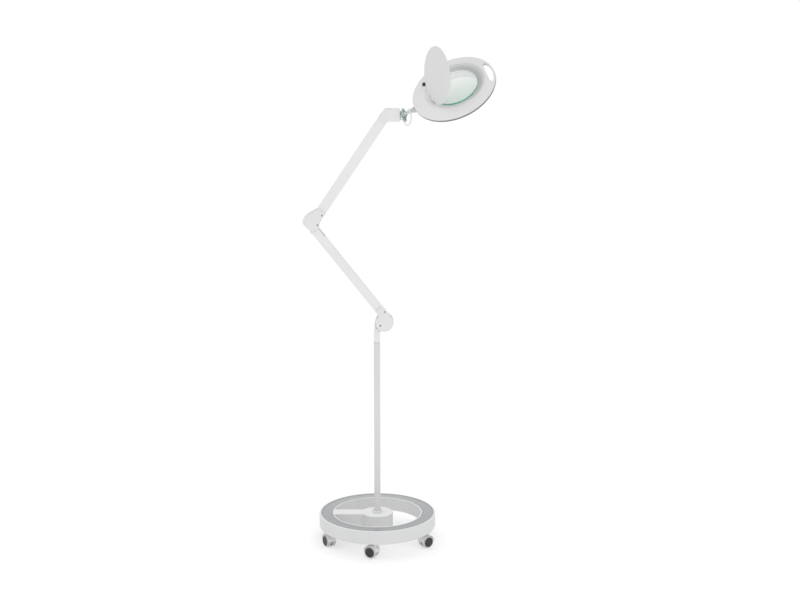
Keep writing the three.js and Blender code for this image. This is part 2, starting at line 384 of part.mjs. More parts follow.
// ---------------------------------------------------------------- head
const head = new THREE.Group();              // x away from the neck, z out of the lens's upper side
head.position.set(NECK_L, -NECK_N * Math.sin(ROLL * deg), NECK_N * Math.cos(ROLL * deg));
head.rotation.x = ROLL * deg;
neck.add(head);
const slotPts = (grow) => {
  const r = SLOT_R + grow, v = SLOT_V + grow, u = SLOT_U - grow, a = Math.asin((v - 6) / r) / deg;
  return [[u, -v + 7], [u, v - 7], [u + 2, v - 2.5], [u + 6, v], ...arc(0, 0, r, a, -a, 10), [u + 6, -v], [u + 2, -v + 2.5]];
};
{
  const H = 40;
  const c = LENS_U, seat = SEAT_R;
  const upper = turned([
    [121, -2.4], [121, 1.6], [120.4, 2.9], [114, 5.2], [106, 7.6, 0.8], [98, 9.3, 2.4], [92, 10, 4], [seat + 0.8, 10.1, c],
    [seat, 9.6, c], [seat, 7.9, c], [82.6, 7.8, c], [80.6, 7.3, c], [74, 4.4, c], [68.6, 2.2, c], [66, 1.6, c],
    [66, 0.9, c], [67.8, 0.9, c], [67.8, -9, c], [70.2, -9, c], [70.2, 0.2, c], [75, 2, c], [81.4, 4.9, c], [86, 5.4, c],
    [91, 7.4, 4], [98, 6.8, 2.4], [106, 5.1, 0.8], [113, 2.9], [118.4, 0.8], [118.4, -2.4],
  ], H);
  const skirt = plate(slotPts(2), -2.4, 6).intersect(turned([[60, -2.4], [121, -2.4], [121, 1.6], [114, 5.2], [106, 6], [60, 6]], H));
  const slot = plate(slotPts(0), -60, 60);
  add(head, 'head_upper_shell', upper.add(skirt).subtract(slot).add(rod(8.2, [...SWITCH, 5.5], [...SWITCH, 12], 16)).subtract(rod(6.4, [...SWITCH, -5], [...SWITCH, 20], 16)), WHITE());

  const outer = [[121.2, -3.2], [117, -5.6], [110, -7.4], [102, -9], [98.6, -10.6], [96.4, -14], [94.6, -22], [92.8, -24.2], [91, -25]];
  const lowOuter = turned([...outer, [81.5, -25, c], [81.5, -3.2, c]], H);
  const lowInner = turned([[118.2, -3.1], [118.2, -3.4], [115.6, -4.2], [109.6, -5.8], [100.4, -7.6], [96.4, -9.8], [94, -14.2], [92.4, -21.2], [90.8, -22.7], [76, -22.7, c], [76, 10, c], [118.2, 10]], H);
  const wall = plate(slotPts(2), -30, -3.2).intersect(turned([[0, -25], ...outer.slice().reverse(), [0, -3.2]], H));
  add(head, 'head_lower_shell', lowOuter.subtract(lowInner).add(wall).subtract(slot), WHITE());

  const trim = turned([[121.6, -2.9], [HEAD_R - 0.6, -2.9], [HEAD_R, -2.2], [HEAD_R, 1.6], [HEAD_R - 1, 2.6], [121.6, 2.6]], H);
  add(head, 'rim_trim', trim, mat(0x7d837f, 0.4));

  const lens = [];
  const z1 = LENS_TOP, z0 = z1 - LENS_EDGE, edge = LENS_R - 1.8;
  for (let i = 0; i <= 3; i++) { const r = (edge * i) / 3; lens.push([r, z0 - SAG_UNDER * (1 - (r / edge) ** 2)]); }
  lens.push([LENS_R, z0], [LENS_R, z1]);
  for (let i = 3; i >= 0; i--) { const r = (edge * i) / 3; lens.push([r, z1 + SAG_TOP * (1 - (r / edge) ** 2)]); }
  const at = new THREE.Group();
  at.position.set(c, 0, 0);
  head.add(at);
  add(at, 'lens', turned(lens, 32), mat(0xdfeee6, 0.04, 0, { transparent: true, opacity: 0.4 }));
  add(at, 'lens_retaining_ring', turned([[65.7, z0 - 0.4], [67.4, z0 - 0.4], [67.4, -9.4], [70.2, -9.4], [70.2, -25], [68, -25], [67.4, -12], [65.7, -7]], 32), WHITE());
  add(at, 'led_ring_board', turned([[72.2, -6.4], [79, -6.4], [79, -8], [72.2, -8]], 32), mat(0xe8e8e0, 0.5));
  add(at, 'diffuser_ring', turned([[70.6, -22.6], [81.1, -22.6], [81.1, -24.8], [70.6, -24.8]], 32), mat(0xf2f2ee, 0.3));

  const sw = new THREE.Group();
  sw.position.set(...SWITCH, 0);
  head.add(sw);
  add(sw, 'switch_rocker', turned([[0, 5], [5.9, 5], [6, 14.6], [5.2, 16.4], [0, 17.2]], 16), BLACK());

  // tongue under the rim that the neck's spigot turns in
  const keep = turned([[0, -26], [91.3, -25.4], [93.4, -24.4], [95.1, -22.1], [96.9, -14.1], [99, -11], [102.3, -9.4], [110.3, -7.8], [117.3, -6], [121.6, -3.7], [HEAD_R + 0.5, -3.4], [HEAD_R + 0.5, 14], [0, 20]], H);
  const n = -NECK_N;
  const socket = all(rod(6.6, [-135, 0, n], [-124.2, 0, n], 20), cheek([[-130, n + 4], [-130, n - 5.6], [-118, -14.6], [-103, -16.5], [-99.6, -16.5], [-99.6, -8], [-112, -6], [-124, -2]], -7.4, 7.4));
  add(head, 'head_socket', socket.subtract(keep).subtract(rod(3.3, [-140, 0, n], [-129.6, 0, n], 12)), mat(0x9aa09c, 0.4, 0.4));

  // lid and its hinge; x runs across the lid when it is shut
  const hinge = new THREE.Group();
  hinge.position.set(...HINGE);
  hinge.rotation.z = HINGE_TURN * deg;
  head.add(hinge);
  const ear = [[-2.6, -3.9], ...arc(0, 0, 2.6, 180, 0, 6), [2.6, -3.9]];
  add(hinge, 'lid_hinge_bracket', all(cheek(ear, 7.2, 9.6), cheek(ear, -9.6, -7.2), box(-2.6, 2.6, -9.6, 9.6, -4.6, -3.8), rodY(1.1, [0, 0], -9.4, 9.4, 10)), WHITE());
  const lid = new THREE.Group();
  lid.rotation.y = -LID_OPEN * deg;
  hinge.add(lid);
  const cx = LID_REACH, top = 0.4, bot = top - LID_T;
  const disc = turned([[0, bot, cx], [LID_R - 1.2, bot, cx], [LID_R, bot + 0.8, cx], [LID_R, top - 0.7, cx], [LID_R - 0.7, top, cx], [0, top, cx]], 36);
  const tab = cheek([[-1.5, -2.2], [12, -2.2], [12, 0.4], [9, 1.4], [2.2, 2.3], [-1, 2.3]], -6.8, 6.8);
  const gap = (y0, y1) => box(-6, 4.4, y0, y1, -6, 5);
  add(lid, 'lens_lid', all(disc.subtract(gap(6.8, 10.6)).subtract(gap(-10.6, -6.8)).subtract(box(-8, -2.6, -10.6, 10.6, -6, 5)), tab, rodY(2.6, [0, 0], -6.8, 6.8, 12)).subtract(rodY(1.4, [0, 0], -20, 20, 10)), WHITE());
}

root.updateMatrixWorld(true);
export default root;
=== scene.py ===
# Looks of the magnifying floor lamp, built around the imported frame. Lengths below are millimetres
# until a mesh is made; the frame and every object are metres.
import bpy
import bmesh
import math
import numpy as np
from mathutils import Matrix, Vector


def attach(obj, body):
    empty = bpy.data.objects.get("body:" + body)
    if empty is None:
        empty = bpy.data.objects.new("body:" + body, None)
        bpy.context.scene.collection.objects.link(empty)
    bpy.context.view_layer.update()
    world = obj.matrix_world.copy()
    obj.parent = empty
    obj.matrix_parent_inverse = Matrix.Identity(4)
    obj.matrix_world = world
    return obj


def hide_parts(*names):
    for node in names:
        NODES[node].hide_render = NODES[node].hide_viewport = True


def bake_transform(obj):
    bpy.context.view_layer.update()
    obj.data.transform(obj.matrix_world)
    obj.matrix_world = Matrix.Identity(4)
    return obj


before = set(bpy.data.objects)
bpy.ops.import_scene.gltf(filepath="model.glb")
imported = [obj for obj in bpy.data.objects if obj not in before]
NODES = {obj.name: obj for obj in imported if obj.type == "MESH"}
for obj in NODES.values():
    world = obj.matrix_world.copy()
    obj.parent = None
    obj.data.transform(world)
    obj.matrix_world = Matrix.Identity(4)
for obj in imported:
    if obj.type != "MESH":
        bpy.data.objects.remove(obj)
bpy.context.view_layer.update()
scene = bpy.context.scene
deg = math.pi / 180

# ------------------------------------------------------------------ camera
cam_data = bpy.data.cameras.new("camera")
cam_data.sensor_width = 36
cam_data.lens = 1593 / 800 * 36
cam_data.clip_end = 200
cam = bpy.data.objects.new("camera", cam_data)
scene.collection.objects.link(cam)
cam.location = (0.067, -4.5, 1.686)
cam.rotation_euler = (78 * deg, 0, 0)
scene.camera = cam

# ------------------------------------------------------------------ light and floor
scene.view_settings.view_transform = "Standard"
world = bpy.data.worlds.new("studio")
scene.world = world
world.use_nodes = True
bg = world.node_tree.nodes["Background"]
bg.inputs[0].default_value = (1.0, 1.0, 1.0, 1)
bg.inputs[1].default_value = 0.86


def area(name, loc, target, size, power, colour=(1, 1, 1)):
    d = bpy.data.lights.new(name, "AREA")
    d.shape = "DISK"
    d.size = size
    d.energy = power
    d.color = colour
    o = bpy.data.objects.new(name, d)
    scene.collection.objects.link(o)
    o.location = loc
    o.rotation_euler = (Vector(target) - Vector(loc)).to_track_quat("-Z", "Y").to_euler()
    return o


area("key", (1.6, -4.4, 3.4), (0, 0, 0.9), 2.2, 34)
area("side", (-3.6, 0.4, 2.2), (0, 0, 0.9), 2.0, 10)


# ------------------------------------------------------------------ materials
class Nodes:
    """A material's node tree, with short names for what is used here."""

    def __init__(self, name):
        self.m = bpy.data.materials.new(name)
        self.m.use_nodes = True
        self.t = self.m.node_tree
        self.p = self.t.nodes["Principled BSDF"]
        self.out = self.t.nodes["Material Output"]
        self.co = self.n("ShaderNodeTexCoord").outputs["Object"]

    def n(self, kind, **props):
        x = self.t.nodes.new(kind)
        for k, v in props.items():
            setattr(x, k, v)
        return x

    def link(self, a, b):
        self.t.links.new(a, b)

    def noise(self, scale, detail=3.0, rough=0.5, stretch=None, distort=0.0):
        x = self.n("ShaderNodeTexNoise")
        x.inputs["Scale"].default_value = scale
        x.inputs["Detail"].default_value = detail
        x.inputs["Roughness"].default_value = rough
        x.inputs["Distortion"].default_value = distort
        if stretch:
            m = self.n("ShaderNodeMapping")
            m.inputs["Scale"].default_value = stretch
            self.link(self.co, m.inputs["Vector"])
            self.link(m.outputs[0], x.inputs["Vector"])
        else:
            self.link(self.co, x.inputs["Vector"])
        return x.outputs["Fac"]

    def ramp(self, fac, lo, hi, a=0.35, b=0.65):
        x = self.n("ShaderNodeMapRange")
        x.inputs["From Min"].default_value = a
        x.inputs["From Max"].default_value = b
        x.inputs["To Min"].default_value = lo
        x.inputs["To Max"].default_value = hi
        self.link(fac, x.inputs["Value"])
        return x.outputs[0]

    def mix(self, fac, a, b):
        x = self.n("ShaderNodeMix", data_type="RGBA")
        if isinstance(fac, (int, float)):
            x.inputs[0].default_value = fac
        else:
            self.link(fac, x.inputs[0])
        for sock, v in ((x.inputs[6], a), (x.inputs[7], b)):
            if isinstance(v, tuple):
                sock.default_value = (*v, 1)
            else:
                self.link(v, sock)
        return x.outputs[2]

    def bump(self, height, strength, distance, below=None):
        x = self.n("ShaderNodeBump")
        x.inputs["Strength"].default_value = strength
        x.inputs["Distance"].default_value = distance
        self.link(height, x.inputs["Height"])
        if below is not None:
            self.link(below, x.inputs["Normal"])
        return x.outputs[0]

    def edges(self, lo=0.515, hi=0.56):
        g = self.n("ShaderNodeNewGeometry")
        return self.ramp(g.outputs["Pointiness"], 0, 1, lo, hi)


def shade(c, k):
    return tuple(min(1.0, x * k) for x in c)


def moulded(name, colour, rough=0.42, grain=1300, bump=0.12, spread=0.03, coat=0.0, worn=1.03, lit_top=None):
    """Moulded plastic: a fine spark texture, slow tone drift and rubbed edges."""
    s = Nodes(name)
    slow = s.ramp(s.noise(7, 3), 0, 1, 0.3, 0.7)
    c = s.mix(slow, shade(colour, 1 - spread), shade(colour, 1 + spread * 0.5))
    fine = s.ramp(s.noise(240, 4, 0.6), 0, 1, 0.35, 0.7)
    c = s.mix(s.ramp(fine, 0, 0.05, 0, 1), c, shade(colour, 0.9))
    c = s.mix(s.edges(), c, shade(colour, worn))
    if lit_top:
        # painted light: faces that look up get a lighter colour than the walls, as if lit from above
        up = s.n("ShaderNodeSeparateXYZ")
        s.link(s.n("ShaderNodeTexCoord").outputs["Normal"], up.inputs[0])
        c = s.mix(s.ramp(up.outputs[2], 0, 1, 0.55, 0.95), c, lit_top)
    s.link(c, s.p.inputs["Base Color"])
    s.link(s.ramp(s.noise(45, 4), rough - 0.05, rough + 0.06), s.p.inputs["Roughness"])
    b = s.bump(s.noise(grain, 2, 0.55), bump, 0.00012)
    s.link(s.bump(s.noise(60, 2), 0.05, 0.0006, b), s.p.inputs["Normal"])
    s.p.inputs["IOR"].default_value = 1.48
    s.p.inputs["Coat Weight"].default_value = coat
    s.p.inputs["Coat Roughness"].default_value = 0.12
    return s.m


def powder(name, colour, rough=0.36):
    """Powder coat: orange-peel bumps and tiny specks over steel."""
    s = Nodes(name)
    c = s.mix(s.ramp(s.noise(5, 2), 0, 1, 0.3, 0.7), shade(colour, 0.98), shade(colour, 1.012))
    vor = s.n("ShaderNodeTexVoronoi")
    vor.inputs["Scale"].default_value = 420
    s.link(s.co, vor.inputs["Vector"])
    c = s.mix(s.ramp(vor.outputs["Distance"], 0.05, 0, 0.02, 0.09), c, shade(colour, 0.7))
    c = s.mix(s.edges(0.53, 0.6), c, shade(colour, 1.03))
    s.link(c, s.p.inputs["Base Color"])
    s.link(s.ramp(s.noise(90, 3), rough - 0.04, rough + 0.06), s.p.inputs["Roughness"])
    b = s.bump(s.noise(700, 2, 0.5), 0.16, 0.00018)
    s.link(s.bump(s.noise(160, 2), 0.08, 0.0004, b), s.p.inputs["Normal"])
    s.p.inputs["Coat Weight"].default_value = 0.18
    s.p.inputs["Coat Roughness"].default_value = 0.25
    return s.m


def metal(name, colour, rough=0.3, stretch=(60, 60, 900), bump=0.08, stain=0.12):
    """Turned or drawn metal: fine drag lines, cloudy stains and brighter edges."""
    s = Nodes(name)
    lines = s.noise(1, 4, 0.6, stretch)
    c = s.mix(s.ramp(s.noise(55, 4), 0, 1, 0.35, 0.7), colour, shade(colour, 1 - stain))
    c = s.mix(s.edges(0.52, 0.6), c, shade(colour, 1.15))
    s.link(c, s.p.inputs["Base Color"])
    s.p.inputs["Metallic"].default_value = 1.0
    s.link(s.ramp(lines, max(0.03, rough - 0.08), rough + 0.1), s.p.inputs["Roughness"])
    s.link(s.bump(lines, bump, 0.0001), s.p.inputs["Normal"])
    return s.m


WHITE = moulded("moulded_white", (0.745, 0.748, 0.745))
COVER = moulded("cover_white", (0.715, 0.718, 0.716))
BEZEL = moulded("bezel_white", (0.80, 0.803, 0.80), rough=0.3)
# the base: its walls are a darker copy of the white, painted shade near the floor, and its up-facing faces a lighter
# one, painted light
WHITE_BASE = moulded("base_white_lit_and_shaded", (0.655, 0.658, 0.66), rough=0.45, spread=0.025, lit_top=(0.845, 0.848, 0.85))
# the lid is a darker copy of the white: painted shade, for its face turned away from the light
LID = moulded("lid_white_shaded", (0.662, 0.664, 0.664), rough=0.4, spread=0.012)
RIBW = moulded("hinge_white", (0.74, 0.742, 0.74), rough=0.38)
PAINT = powder("painted_white", (0.745, 0.747, 0.745))
POLE = powder("pole_white", (0.655, 0.657, 0.657), 0.34)
NYLON = moulded("nylon", (0.70, 0.70, 0.68), rough=0.5)
TREAD = moulded("tread_grey", (0.315, 0.336, 0.348), rough=0.13, grain=500, bump=0.05, spread=0.05, coat=0.6)
CASTER = moulded("caster_grey", (0.74, 0.745, 0.755), rough=0.44)
TYRE = moulded("tyre_grey", (0.50, 0.50, 0.50), rough=0.55)
BLACK = moulded("black_plastic", (0.022, 0.021, 0.02), rough=0.36, worn=1.8, spread=0.2)
DISC = moulded("disc_black", (0.03, 0.028, 0.024), rough=0.42, worn=2.0, spread=0.2)
# the head's rim band: dark grey-green, partly a trim's own colour and partly painted shade for the shadowed underside
# of the rim
RIM = moulded("rim_band_shaded", (0.16, 0.185, 0.178), rough=0.34, spread=0.06, coat=0.2)
SOCKET = moulded("socket_grey", (0.56, 0.565, 0.56), rough=0.4)
STEEL = metal("zinc_steel", (0.60, 0.61, 0.62), 0.32)
SPRING = metal("spring_steel", (0.42, 0.43, 0.45), 0.3)
SCREW = metal("screw_dark", (0.16, 0.165, 0.17), 0.34)
CAST = moulded("raw_iron", (0.10, 0.10, 0.105), rough=0.7, grain=500, bump=0.5, spread=0.2)
CABLE = moulded("cable_white", (0.74, 0.742, 0.735), rough=0.5, grain=800)
OPAL = moulded("opal", (0.86, 0.86, 0.84), rough=0.3)
OPAL.node_tree.nodes["Principled BSDF"].inputs["Subsurface Weight"].default_value = 0.3
OPAL.node_tree.nodes["Principled BSDF"].inputs["Subsurface Scale"].default_value = 0.003


def board():
    s = Nodes("lamp_board")
    c = s.mix(s.ramp(s.noise(300, 3), 0, 1), (0.78, 0.78, 0.74), (0.70, 0.71, 0.68))
    s.link(c, s.p.inputs["Base Color"])
    s.p.inputs["Roughness"].default_value = 0.45
    s.link(s.bump(s.noise(900, 2), 0.1, 0.0001), s.p.inputs["Normal"])
    return s.m


def led():
    s = Nodes("lamp_chip")
    v = s.n("ShaderNodeTexVoronoi")
    v.inputs["Scale"].default_value = 700
    s.link(s.co, v.inputs["Vector"])
    s.link(s.mix(v.outputs["Distance"], (0.85, 0.72, 0.2), (0.8, 0.62, 0.1)), s.p.inputs["Base Color"])
    s.p.inputs["Roughness"].default_value = 0.25
    return s.m


BOARD, CHIP = board(), led()


def chrome():
    """Bright plating with painted reflection: cloudy dark and light patches, with a green-grey cast in the dark ones,
    stand in for what the plating reflects; edges are lighter.
    """
    s = Nodes("chrome")
    # painted reflection: dark green-grey to light grey patches in place of reflected surroundings
    c = s.mix(s.ramp(s.noise(120, 4, 0.6), 0, 1, 0.38, 0.62), (0.15, 0.225, 0.215), (0.52, 0.59, 0.55))
    c = s.mix(s.edges(0.53, 0.6), c, (0.60, 0.65, 0.62))
    s.link(c, s.p.inputs["Base Color"])
    s.p.inputs["Metallic"].default_value = 0.55
    s.link(s.ramp(s.noise(60, 3), 0.24, 0.4), s.p.inputs["Roughness"])
    s.link(s.bump(s.noise(400, 2), 0.06, 0.0001), s.p.inputs["Normal"])
    return s.m


CHROME = chrome()

def glass(centre, across, alpha):
    """Clear lens: mostly see-through, with clean gloss and a faint random green tint; its colour runs from green on
    the side opposite FAR to white on the far side, painted refraction of the green edge seen through the glass.
    """
    s = Nodes("lens_glass")
    s.p.inputs["Alpha"].default_value = alpha
    d = s.n("ShaderNodeVectorMath", operation="SUBTRACT")
    s.link(s.co, d.inputs[0])
    d.inputs[1].default_value = centre
    g = s.n("ShaderNodeVectorMath", operation="DOT_PRODUCT")
    s.link(d.outputs[0], g.inputs[0])
    g.inputs[1].default_value = across
    # painted refraction: green on the side opposite FAR, white on the far side
    c = s.mix(s.ramp(g.outputs["Value"], 0, 1, -0.06, 0.06), (0.40, 0.56, 0.46), (1.0, 1.0, 1.0))
    c = s.mix(s.ramp(s.noise(25, 3), 0, 0.05, 0.3, 0.7), c, (0.70, 0.80, 0.74))
    s.link(c, s.p.inputs["Base Color"])
    s.p.inputs["IOR"].default_value = 1.5
    s.link(s.ramp(s.noise(30, 3), 0.02, 0.06), s.p.inputs["Roughness"])
    return s.m


def glass_edge(centre, across):
    """The lens's ground edge: green glass, green only on the side opposite FAR and pale grey-green elsewhere; the
    one-sided green is painted refraction of the thick edge seen at a slant.
    """
    s = Nodes("lens_edge")
    d = s.n("ShaderNodeVectorMath", operation="SUBTRACT")
    s.link(s.co, d.inputs[0])
    d.inputs[1].default_value = centre
    g = s.n("ShaderNodeVectorMath", operation="DOT_PRODUCT")
    s.link(d.outputs[0], g.inputs[0])
    g.inputs[1].default_value = across
    c = s.mix(s.ramp(s.noise(400, 3), 0, 1), (0.09, 0.42, 0.25), (0.13, 0.50, 0.31))
    # painted refraction: the green is kept to the side opposite FAR
    c = s.mix(s.ramp(g.outputs["Value"], 0, 1, -0.052, -0.022), c, (0.62, 0.70, 0.66))
    s.link(c, s.p.inputs["Base Color"])
    s.p.inputs["Roughness"].default_value = 0.25
    s.link(s.bump(s.noise(1200, 2), 0.1, 0.0001), s.p.inputs["Normal"])
    return s.m





def floor_material():
    s = Nodes("floor")
    c = s.mix(s.ramp(s.noise(0.8, 2), 0, 1), (0.76, 0.76, 0.76), (0.75, 0.75, 0.752))
    s.link(c, s.p.inputs["Base Color"])
    s.p.inputs["Roughness"].default_value = 0.8
    s.p.inputs["Specular IOR Level"].default_value = 0.1
    s.p.inputs["Emission Color"].default_value = (1, 1, 1, 1)
    s.p.inputs["Emission Strength"].default_value = 0.36
    return s.m


fm = bpy.data.meshes.new("floor")
fm.from_pydata([(-90, -90, 0), (90, -90, 0), (90, 90, 0), (-90, 90, 0)], [], [(0, 1, 2, 3)])
fm.materials.append(floor_material())
floor = bpy.data.objects.new("floor", fm)
scene.collection.objects.link(floor)


# ------------------------------------------------------------------ mesh helpers
def piece(name, bm, mats, body, nodes=(), at=None, sharp=36):
    """Makes a named object of bm, which is emptied. at is its own frame, in millimetres."""
    if at is not None:
        bmesh.ops.transform(bm, matrix=at, verts=bm.verts)
    bmesh.ops.remove_doubles(bm, verts=bm.verts, dist=1e-4)
    bmesh.ops.recalc_face_normals(bm, faces=bm.faces)
    for f in bm.faces:
        f.smooth = True
    for e in bm.edges:
        if len(e.link_faces) == 2 and e.calc_face_angle(0) > sharp * deg:
            e.smooth = False
    bmesh.ops.scale(bm, vec=(0.001, 0.001, 0.001), verts=bm.verts)
    me = bpy.data.meshes.new(name)
    bm.to_mesh(me)
    bm.free()
    for m in mats if isinstance(mats, (list, tuple)) else [mats]:
        me.materials.append(m)
    o = bpy.data.objects.new(name, me)
    scene.collection.objects.link(o)
    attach(o, body)
    if nodes:
        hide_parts(*([nodes] if isinstance(nodes, str) else nodes))
    return o


def rounded(poly, radii, n=4):
    """A closed outline with its corners rounded; radii is one number or one for each corner."""
    out, k = [], len(poly)
    for i in range(k):
        r = radii if isinstance(radii, (int, float)) else radii[i]
        p, a, b = (Vector(poly[j][:2]) for j in (i, (i - 1) % k, (i + 1) % k))
        u, v = (a - p), (b - p)
        lu, lv = u.length, v.length
        if r <= 0 or lu < 1e-6 or lv < 1e-6:
            out.append(tuple(p))
            continue
        u, v = u / lu, v / lv
        ang = math.acos(max(-1, min(1, u.dot(v))))
        if ang > 3.05 or ang < 0.05:
            out.append(tuple(p))
            continue
        d = min(r / math.tan(ang / 2), lu * 0.48, lv * 0.48)
        rr = d * math.tan(ang / 2)
        c = p + (u + v).normalized() * (rr / math.sin(ang / 2))
        s, e = p + u * d, p + v * d
        a0, a1 = math.atan2(*(s - c).yx), math.atan2(*(e - c).yx)
        da = (a1 - a0 + math.pi) % (2 * math.pi) - math.pi
        for j in range(n + 1):
            t = a0 + da * j / n
            out.append((c.x + rr * math.cos(t), c.y + rr * math.sin(t)))
    return out


def turned(profile, seg=96, cx=None, radii=0, n=3, bm=None, mat=None, a0=0.0):
    """A closed profile [r, z] turned about z. cx(r, z) shifts each circle along x; mat(r, z) gives a face's material."""
    pts = rounded(profile, radii, n) if radii else [tuple(p[:2]) for p in profile]
    bm = bm or bmesh.new()
    rings = []
    for r, z in pts:
        c = cx(r, z) if cx else 0
        if r < 1e-4:
            rings.append([bm.verts.new((c, 0, z))])
        else:
            rings.append([bm.verts.new((c + r * math.cos(a0 + 2 * math.pi * j / seg), r * math.sin(a0 + 2 * math.pi * j / seg), z)) for j in range(seg)])
    for i in range(len(pts)):
        a, b = rings[i], rings[(i + 1) % len(pts)]
        if len(a) == 1 and len(b) == 1:
            continue
        rm, zm = (pts[i][0] + pts[(i + 1) % len(pts)][0]) / 2, (pts[i][1] + pts[(i + 1) % len(pts)][1]) / 2
        for j in range(seg):
            k = (j + 1) % seg
            if len(a) == 1:
                f = (a[0], b[j], b[k])
            elif len(b) == 1:
                f = (a[j], b[0], a[k])
            else:
                f = (a[j], b[j], b[k], a[k])
            try:
                face = bm.faces.new(f)
            except ValueError:
                continue
            if mat:
                face.material_index = mat(rm, zm)
    bmesh.ops.recalc_face_normals(bm, faces=bm.faces)
    return bm


def bevel(bm, width, seg=3, angle=40, pick=None):
    es = [e for e in bm.edges if len(e.link_faces) == 2 and e.calc_face_angle(0) > angle * deg and (pick is None or pick(e))]
    if es and width > 0:
        bmesh.ops.bevel(bm, geom=es, offset=width, offset_type="OFFSET", segments=seg, profile=0.5, affect="EDGES", clamp_overlap=True)
    return bm


def extrude(poly, lo, hi, axis="y", width=0.6, seg=3, bm=None):
    """An outline pulled along y (outline in x, z) or z (outline in x, y), with soft rims."""
    b = bmesh.new()
    put = (lambda p, h: (p[0], h, p[1])) if axis == "y" else (lambda p, h: (p[0], p[1], h))
    lo_v = [b.verts.new(put(p, lo)) for p in poly]
    hi_v = [b.verts.new(put(p, hi)) for p in poly]
    b.faces.new(lo_v)
    b.faces.new(hi_v)
    for i in range(len(poly)):
        k = (i + 1) % len(poly)
        b.faces.new((lo_v[i], lo_v[k], hi_v[k], hi_v[i]))
    bmesh.ops.recalc_face_normals(b, faces=b.faces)
    bevel(b, width, seg, 50)
    return join(bm, b) if bm else b


def join(bm, other):
    me = bpy.data.meshes.new("t")
    other.to_mesh(me)
    other.free()
    bm.from_mesh(me)
    bpy.data.meshes.remove(me)
    return bm


def span(bm):
    """Lowest and highest corners of bm."""
    c = [v.co for v in bm.verts]
    return [min(v[i] for v in c) for i in range(3)], [max(v[i] for v in c) for i in range(3)]


def boolean(bm, other, op="DIFFERENCE"):
    """bm with other joined or cut; both are used up and a new one is returned. A result that is
    open, empty or short of its parts is made again with the next solver, and the best one is kept."""
    (lo_a, hi_a), (lo_b, hi_b) = span(bm), span(other)
    obs = []
    for b in (bm, other):
        me = bpy.data.meshes.new("t")
        bmesh.ops.recalc_face_normals(b, faces=b.faces)
        b.to_mesh(me)
        b.free()
        for m in range(4):
            me.materials.append(None)
        o = bpy.data.objects.new("t", me)
        scene.collection.objects.link(o)
        obs.append(o)
    m = obs[0].modifiers.new("b", "BOOLEAN")
    m.operation, m.object = op, obs[1]
    best, score = None, None
    for solver, own in (("EXACT", False), ("MANIFOLD", False), ("EXACT", True)):
        m.solver = solver
        if solver == "EXACT":
            m.use_self = own
        bpy.context.view_layer.update()
        ev = obs[0].evaluated_get(bpy.context.evaluated_depsgraph_get())
        out = bmesh.new()
        out.from_mesh(ev.to_mesh())
        ev.to_mesh_clear()
        bmesh.ops.remove_doubles(out, verts=out.verts, dist=1e-4)
        bmesh.ops.dissolve_degenerate(out, dist=1e-5, edges=out.edges)
        if not out.verts:
            out.free()
            continue
        lost = 0.0
        if op == "UNION":
            lo, hi = span(out)
            lost = max(max(lo[i] - min(lo_a[i], lo_b[i]), max(hi_a[i], hi_b[i]) - hi[i]) for i in range(3))
        new = (round(max(lost - 0.05, 0), 2), sum(1 for e in out.edges if len(e.link_faces) != 2))
        if best is None or new < score:
            if best is not None:
                best.free()
            best, score = out, new
        else:
            out.free()
        if score == (0, 0):
            break
    if op == "UNION" and (best is None or score[0] > 0):
        # two closed shells that pass through each other, where no solver joins them
        if best is not None:
            best.free()
        best = bmesh.new()
        for o in obs:
            best.from_mesh(o.data)
    if best is None:
        raise RuntimeError("a cut left nothing")
    for o in obs:
        me = o.data
        bpy.data.objects.remove(o)
        bpy.data.meshes.remove(me)
    return best


def cyl(r, p, q, seg=32, width=0.3, bm=None):
    """A short turned rod from p to q with broken edges."""
    p, q = Vector(p), Vector(q)
    h = (q - p).length
    w = min(width, r * 0.45, h * 0.45)
    b = turned([[0, 0], [r - w, 0], [r, w], [r, h - w], [r - w, h], [0, h]], seg)
    m = Matrix.Translation(p) @ (q - p).to_track_quat("Z", "Y").to_matrix().to_4x4()
    bmesh.ops.transform(b, matrix=m, verts=b.verts)
    return join(bm, b) if bm else b


def sweep(points, r, sides=10, closed=False, caps=True, bm=None):
    """A round tube along points."""
    pts = [Vector(p) for p in points]
    k = len(pts)
    tan = []
    for i in range(k):
        a = pts[(i - 1) % k] if closed or i > 0 else pts[i]
        b = pts[(i + 1) % k] if closed or i < k - 1 else pts[i]
        tan.append((b - a).normalized())
    up = Vector((0, 0, 1)) if abs(tan[0].z) < 0.9 else Vector((1, 0, 0))
    nrm = (up - tan[0] * up.dot(tan[0])).normalized()
    b = bmesh.new()
    rings = []
    for i in range(k):
        nrm = (nrm - tan[i] * nrm.dot(tan[i])).normalized()
        bi = tan[i].cross(nrm)
        rr = r[i] if isinstance(r, (list, tuple)) else r
        rings.append([b.verts.new(pts[i] + (nrm * math.cos(2 * math.pi * j / sides) + bi * math.sin(2 * math.pi * j / sides)) * rr) for j in range(sides)])
    for i in range(k if closed else k - 1):
        p, q = rings[i], rings[(i + 1) % k]
        for j in range(sides):
            b.faces.new((p[j], p[(j + 1) % sides], q[(j + 1) % sides], q[j]))
    if not closed and caps:
        b.faces.new(rings[0])
        b.faces.new(rings[-1])
    bmesh.ops.recalc_face_normals(b, faces=b.faces)
    return join(bm, b) if bm else b


def smooth_path(points, per=8):
    """Catmull-Rom through points."""
    p = [Vector(q) for q in points]
    p = [p[0] * 2 - p[1]] + p + [p[-1] * 2 - p[-2]]
    out = []
    for i in range(1, len(p) - 2):
        for j in range(per):
            t = j / per
            out.append(0.5 * ((2 * p[i]) + (p[i + 1] - p[i - 1]) * t + (2 * p[i - 1] - 5 * p[i] + 4 * p[i + 1] - p[i + 2]) * t * t + (3 * p[i] - p[i - 1] - 3 * p[i + 1] + p[i + 2]) * t ** 3))
    out.append(p[-2])
    return out


